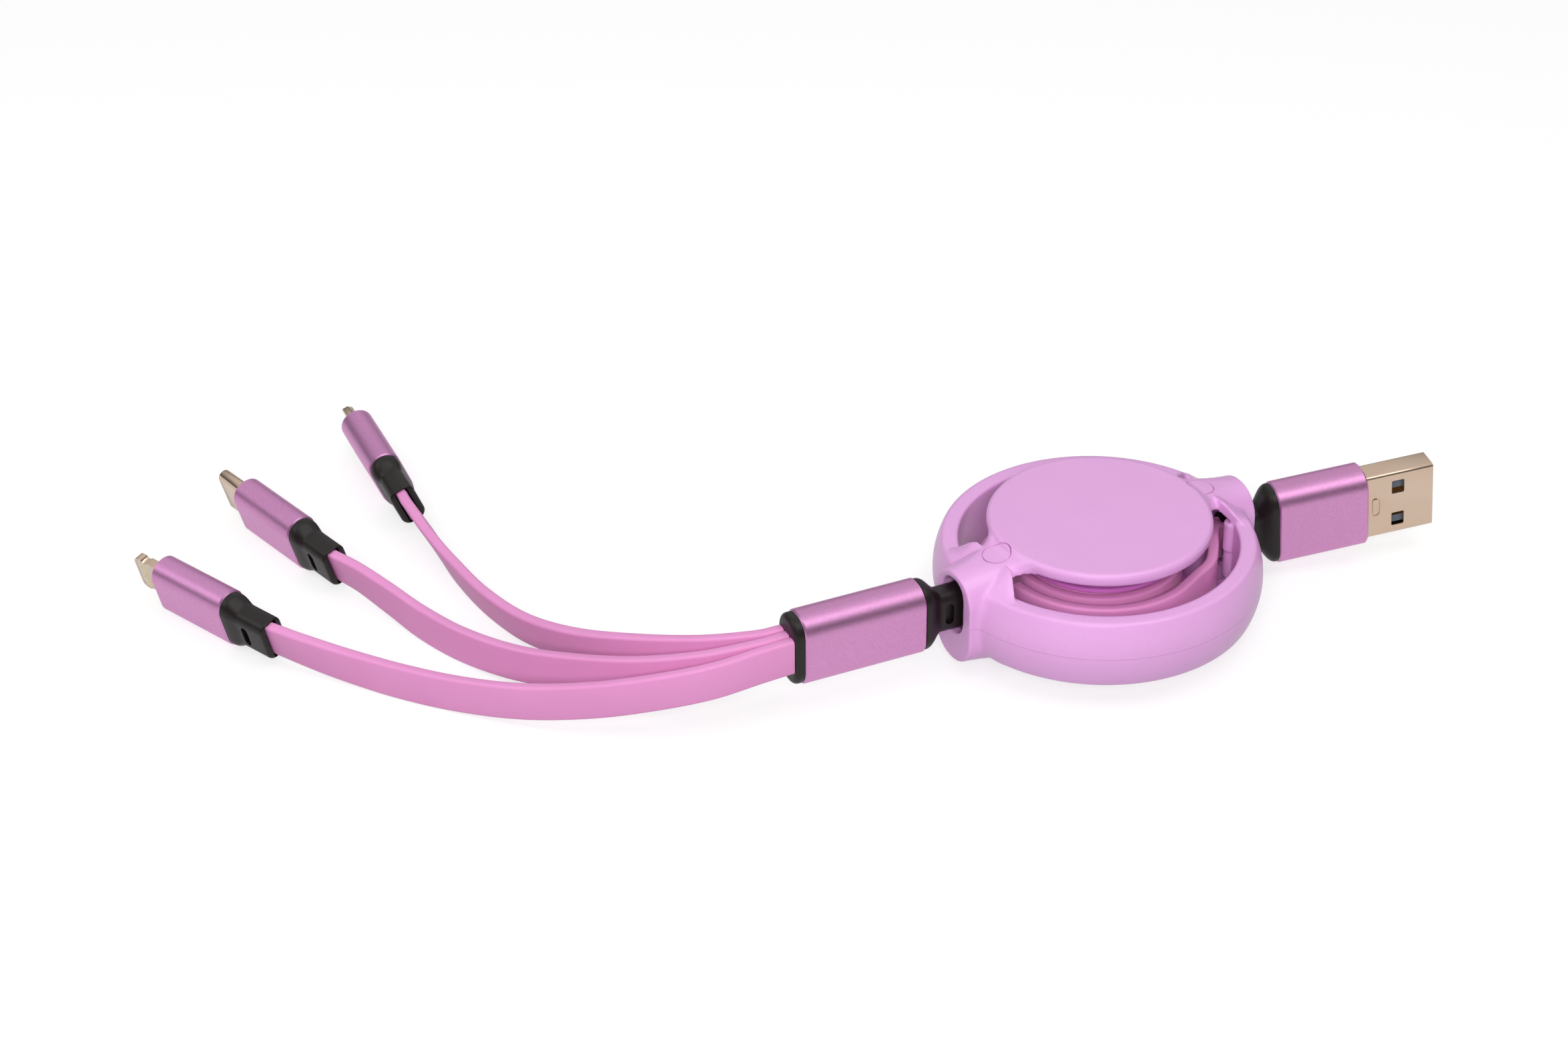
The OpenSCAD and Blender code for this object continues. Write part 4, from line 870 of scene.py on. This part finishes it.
# the four plug tips
tips = {
    "usb": {"length": 12, "width": 12, "thickness": 4.5, "sheet": 0.3, "corner": 0.6, "hold": 3, "round": 0.06,
        "windowFrom": 5.16, "windowLength": 2.2, "windowWidth": 2.5, "windowOff": 3.15, "keyFrom": 10.2,
        "recess": (0.72, 1.75, 0.7), "recessDepth": 0.16, "key": (0.5, 1.53, 0.48),
        "keySteps": [(0.15, 0.0), (0.08, 0.02), (0.03, 0.1), (0.01, 0.22)]},
    "tab": {"length": 6.6, "width": 6.7, "thickness": 1.5, "hold": 3, "corner": 1.2, "round": 0.12,
        "notch": 0.75, "notchFrom": 2.6, "notchDepth": 0.45,
        "windowFrom": 2.0, "window": (1.5, 2.75, 0.35), "plate": (1.48, 2.73, 0.33)},
    "oval": {"length": 6.65, "width": 8.25, "thickness": 2.4, "sheet": 0.3, "hold": 3, "round": 0.08},
    "five": {"length": 5, "width": 6.85, "thickness": 1.85, "sheet": 0.3, "hold": 3, "round": 0.06, "bevel": 0.75,
        "corner": 0.2, "catch": (0.7, 0.45, 0.1), "catchFrom": 2.9, "catchOff": 1.9, "catchDepth": 0.25},
}


def softenEdges(piece, width, angle=40):
    step = piece.modifiers.new("edge", "BEVEL")
    step.width = width * mm
    step.segments = 2
    step.limit_method = "ANGLE"
    step.angle_limit = math.radians(angle)
    applyModifiers(piece)


def sheetShell(name, rows, innerRows, cutters=()):
    # a folded or drawn sheet shell: the outer skin with its bore cut through
    piece = makeMesh("tip." + name, *skin(rows))
    combine(piece, [makeMesh("bore", *skin(innerRows))] + list(cutters), "DIFFERENCE")
    return piece


def finishTip(piece, name, node):
    toPlug(piece, name)
    softenEdges(piece, tips[name]["round"])
    shade(piece, 30)
    give(piece, sleeves[name]["body"], platedSteel, "plug_shell", node)


def usbShell():
    z, l = tips["usb"], sleeves["usb"]["length"]
    t, w, sheet, tip = z["thickness"] / 2, z["width"] / 2, z["sheet"], l + z["length"]
    outer = loftRings([(x, t, w, z["corner"]) for x in (l - z["hold"], tip)], 6)
    inner = loftRings([(x, t - sheet, w - sheet, z["corner"] / 2) for x in (l - z["hold"] - 1, tip + 1)], 4)
    windowX = tip - z["windowFrom"] - z["windowLength"] / 2
    window = flatOutline(z["windowLength"] / 2, z["windowWidth"] / 2, 0.2, 3)
    cutters = [prism("window", window, windowX, side * z["windowOff"], (-4, 4)) for side in (1, -1)]
    keyX = tip - z["keyFrom"]
    cutters.append(prism("recess", flatOutline(*z["recess"], 8), keyX, 0, (-t - 1, z["recessDepth"] - t)))
    piece = sheetShell("usb", outer, inner, cutters)
    finishTip(piece, "usb", "usb_a_shell")
    # the pressed key stands in its recess near the sleeve
    key = [[(keyX + x, depth - t, h) for x, h in flatOutline(*(size - inward for size in z["key"]), 8)]
        for depth, inward in z["keySteps"]]
    keyPiece = makeMesh("pressedKey", *skin(key), place=plugFrame("usb"))
    shade(keyPiece, 30)
    give(keyPiece, "usb_lead", platedSteel, "plug_shell")


def tabBlade():
    z, l = tips["tab"], sleeves["tab"]["length"]
    tip = l + z["length"]
    x0, r, half = l - z["hold"], z["corner"], z["width"] / 2
    # outline in the blade's plane, with a notch in each narrow side
    n, depth = z["notch"], z["notchDepth"]
    outline = [(x0, -half)]
    outline += arc(tip - z["notchFrom"], -half - n + depth, n, 156, 24, 11)
    outline += arc(tip - r, r - half, r, -90, 0, 10) + arc(tip - r, half - r, r, 0, 90, 10)
    outline += [(x, -y) for x, y in reversed(outline[1:13])] + [(x0, half)]
    rings = [[(x, y, h) for x, h in outline] for y in (-z["thickness"] / 2, z["thickness"] / 2)]
    piece = makeMesh("tip.tab", *skin(rings))
    cutters = []
    t = z["thickness"] / 2
    for side in (1, -1):
        cutters.append(prism("pocket", flatOutline(*z["window"], 4), tip - z["windowFrom"], 0,
            (side * (t - 0.12), side * (t + 1))))
    combine(piece, cutters, "DIFFERENCE")
    finishTip(piece, "tab", "tab_blade")
    # white insert moulded into both windows, between and around the contacts
    for side, name in ((1, "tabInsertFront"), (-1, "tabInsertBack")):
        insert = prism(name, flatOutline(*z["plate"], 4), tip - z["windowFrom"], 0,
            (side * (t - 0.11), side * (t - 0.05)), plugFrame("tab"))
        shade(insert, 30)
        give(insert, "splitter_lead", ivoryNylon, "light_insert")


def ovalShell():
    z, l = tips["oval"], sleeves["oval"]["length"]
    t, w, sheet = z["thickness"] / 2, z["width"] / 2, z["sheet"]
    back, tip = l - z["hold"], l + z["length"]
    outer = loftRings([(x, t, w, t - 0.01) for x in (back, tip)], 16)
    inner = loftRings([(x, t - sheet, w - sheet, t - sheet - 0.01) for x in (back - 1, tip + 1)], 16)
    piece = sheetShell("oval", outer, inner)
    finishTip(piece, "oval", "oval_shell")


def fiveSection(inset):
    z = tips["five"]
    w, t, b = z["width"] / 2 - inset, z["thickness"] / 2 - inset, z["bevel"] - 0.4 * inset
    corner = z["corner"]
    half = [(t - corner, w), (b - t + 0.12, w), (b - t - 0.1, w - 0.1), (-t + 0.06, w - b + 0.1), (-t, w - b - 0.12)]
    return [(t - corner, -w), (t, corner - w), (t, w - corner)] + half + [(y, -h) for y, h in reversed(half[1:])]


def fiveShell():
    z, l = tips["five"], sleeves["five"]["length"]
    tip = l + z["length"]
    outer = [[(x, y, h) for y, h in fiveSection(0)] for x in (l - z["hold"], tip)]
    inner = [[(x, y, h) for y, h in fiveSection(z["sheet"])] for x in (l - z["hold"] - 1, tip + 1)]
    levels = (z["thickness"] / 2 - z["catchDepth"], z["thickness"] / 2 + 0.5)
    cutters = [prism("catch", flatOutline(*z["catch"], 2), tip - z["catchFrom"], side * z["catchOff"], levels)
        for side in (1, -1)]
    piece = sheetShell("five", outer, inner, cutters)
    finishTip(piece, "five", "five_shell")


usbShell()
tabBlade()
ovalShell()
fiveShell()


# the contacts: rows of strips in each plug, on the faces named by sides; rise is how far their tops stand from
# the plug's middle, toward that side
contactTree = barRowTree(goldFlash)
contacts = {
    "usb": {"node": "usb_a_contacts", "rows": [
        {"count": 2, "pitch": 7, "length": 10.4, "width": 1, "thick": 0.35, "x": 21.4, "rise": 0.04, "sides": [-1]},
        {"count": 2, "pitch": 2, "length": 9.4, "width": 1, "thick": 0.35, "x": 20.9, "rise": 0.04, "sides": [-1]}]},
    "tab": {"node": "tab_contacts", "rows": [
        {"count": 8, "pitch": 0.62, "length": 1.8, "width": 0.28, "thick": 0.1, "x": 21, "rise": 0.73,
            "sides": [1, -1]}]},
    "oval": {"node": "oval_contacts", "rows": [
        {"count": 12, "pitch": 0.5, "length": 4.65, "width": 0.26, "thick": 0.2, "x": 19.72, "rise": -0.3,
            "sides": [-1, 1]}]},
    "five": {"node": "five_contacts", "rows": [
        {"count": 5, "pitch": 0.65, "length": 3.8, "width": 0.3, "thick": 0.11, "x": 18.8, "rise": 0.335,
            "sides": [-1]}]},
}
roundShare = 0.3   # a strip's corner radius as a share of its width


def contactPiece(name):
    spec = contacts[name]
    joined = bmesh.new()
    for row, side in ((row, side) for row in spec["rows"] for side in row["sides"]):
        mesh = growMesh(contactTree, {
            "Count": row["count"], "Pitch": row["pitch"] * mm, "Length": row["length"] * mm,
            "Width": row["width"] * mm, "Thickness": row["thick"] * mm, "Corner": row["width"] * roundShare * mm})
        # strips rise along local Z and lie side by side along local Y: turn them onto the plug's face
        turn = Matrix.Rotation(math.radians(-90 * side), 4, "X")
        first = -(row["count"] - 1) * row["pitch"] / 2
        shift = Matrix.Translation(Vector((row["x"], side * (row["rise"] - row["thick"]), 0)) * mm)
        mesh.transform(shift @ turn @ Matrix.Translation((0, first * mm, 0)))
        joined.from_mesh(mesh)
        bpy.data.meshes.remove(mesh)
    mesh = bpy.data.meshes.new("contacts." + name)
    joined.to_mesh(mesh)
    joined.free()
    piece = addObject("contacts." + name, mesh)
    toPlug(piece, name)
    shade(piece, 30)
    return give(piece, sleeves[name]["body"], goldFlash, "contacts", spec["node"])


for name in contacts:
    contactPiece(name)
print("plug tips and contacts made")


# CAD nodes that keep their shape
kept = {
    "spring_cover": spoolAbs, "locking_ball": springSteel, "power_spring": springSteel,
    "usb_a_tongue": greyNylon, "usb_a_core": ivoryNylon, "splitter_core": ivoryNylon, "tab_core": blackNylon,
    "oval_core": ivoryNylon, "oval_tongue": blackNylon, "five_core": ivoryNylon, "five_tongue": blackNylon,
}
for name, material in kept.items():
    for place in nodes[name].material_slots:
        place.material = material

# the cords: each branch tape leaves the splitter's end cap and ends in its own plug
plugPieces = {name: [kind + name for kind in ("sleeve.", "relief.", "tip.", "contacts.")] for name in branchTapes}
plugPieces["tab"] += ["tabInsertFront", "tabInsertBack"]


# stage and light
stageSizes = {"floor": 4.0, "keyPower": 2.7, "frontPower": 4.7, "fillPower": 1.6, "skyOnDiffuse": 0.65,
    "floorColour": "B2B2B2", "floorGlow": 0.43, "floorLift": 0.22}

floorMesh = bpy.data.meshes.new("floor")
half = stageSizes["floor"] / 2
floorMesh.from_pydata([(-half, -half, 0), (half, -half, 0), (half, half, 0), (-half, half, 0)], [], [(0, 1, 2, 3)])
floor = addObject("floor", floorMesh)
paper, paperTree, paperShader = newMaterial("white studio paper", {
    "Base Color": hexColour(stageSizes["floorColour"]), "Roughness": 0.9, "Specular IOR Level": 0.1,
    "Emission Color": (1, 1, 1, 1)})
# the paper glows for the camera and the metal, not for matt surfaces: it throws little light under the part
seen = addNode(paperTree, "ShaderNodeLightPath")
glow = addNode(paperTree, "ShaderNodeMath",
    {"operation": "MULTIPLY_ADD", 1: -stageSizes["floorGlow"], 2: stageSizes["floorGlow"]},
    {0: seen.outputs["Is Diffuse Ray"]})
lift = addNode(paperTree, "ShaderNodeMath", {"operation": "MULTIPLY_ADD", 1: stageSizes["floorLift"]},
    {0: seen.outputs["Is Camera Ray"], 2: glow.outputs[0]})
paperTree.links.new(lift.outputs[0], paperShader.inputs["Emission Strength"])
floorMesh.materials.append(paper)


def softbox(name, place, aim, width, height, power):
    data = bpy.data.lights.new(name, "AREA")
    data.shape = "RECTANGLE"
    data.size, data.size_y = width, height
    data.energy = power
    lamp = addObject(name, data)
    direction = Vector(aim) - Vector(place)
    lamp.matrix_world = Matrix.Translation(place) @ direction.to_track_quat("-Z", "Y").to_matrix().to_4x4()
    return lamp


centre = (-0.04, 0.02, 0)
softbox("key", (-0.08, -0.3, 0.9), centre, 1.0, 0.6, stageSizes["keyPower"])
# the front lamp reaches in under the lid but is kept out of the metal, which shows a dark room there
softbox("front", (-0.42, -0.62, 0.5), centre, 0.4, 0.25, stageSizes["frontPower"]).visible_glossy = False
softbox("fill", (-0.9, 0.4, 0.7), centre, 0.6, 0.6, stageSizes["fillPower"])

# the room: pale overhead and on the far side, dark low down behind the camera, for the metal to show
world = bpy.data.worlds.new("studio")
bpy.context.scene.world = world
world.use_nodes = True
sky = world.node_tree
where = addNode(sky, "ShaderNodeTexCoord")
height = addNode(sky, "ShaderNodeVectorMath", {"operation": "DOT_PRODUCT", 1: (0.18, 0.3, 1.0)},
    {0: where.outputs["Generated"]})
shades = addNode(sky, "ShaderNodeValToRGB", links={"Fac": height.outputs["Value"]})
ramp = shades.color_ramp
ramp.elements[0].position, ramp.elements[0].color = 0.0, (0.3, 0.3, 0.3, 1)
ramp.elements[1].position, ramp.elements[1].color = 1.0, (0.8, 0.8, 0.8, 1)
for position, value in ((0.08, 0.1), (0.35, 0.1), (0.55, 0.3), (0.78, 0.7)):
    ramp.elements.new(position).color = (value, value, value, 1)
sky.links.new(shades.outputs["Color"], sky.nodes["Background"].inputs["Color"])
# matt surfaces take less of it than the metal shows, which keeps the shadows deep
sort = addNode(sky, "ShaderNodeLightPath")
level = addNode(sky, "ShaderNodeMapRange", {"To Min": 1.0, "To Max": stageSizes["skyOnDiffuse"]},
    {"Value": sort.outputs["Is Diffuse Ray"]})
sky.links.new(level.outputs["Result"], sky.nodes["Background"].inputs["Strength"])
bpy.context.scene.view_settings.view_transform = "Standard"

print("stage and lights set")
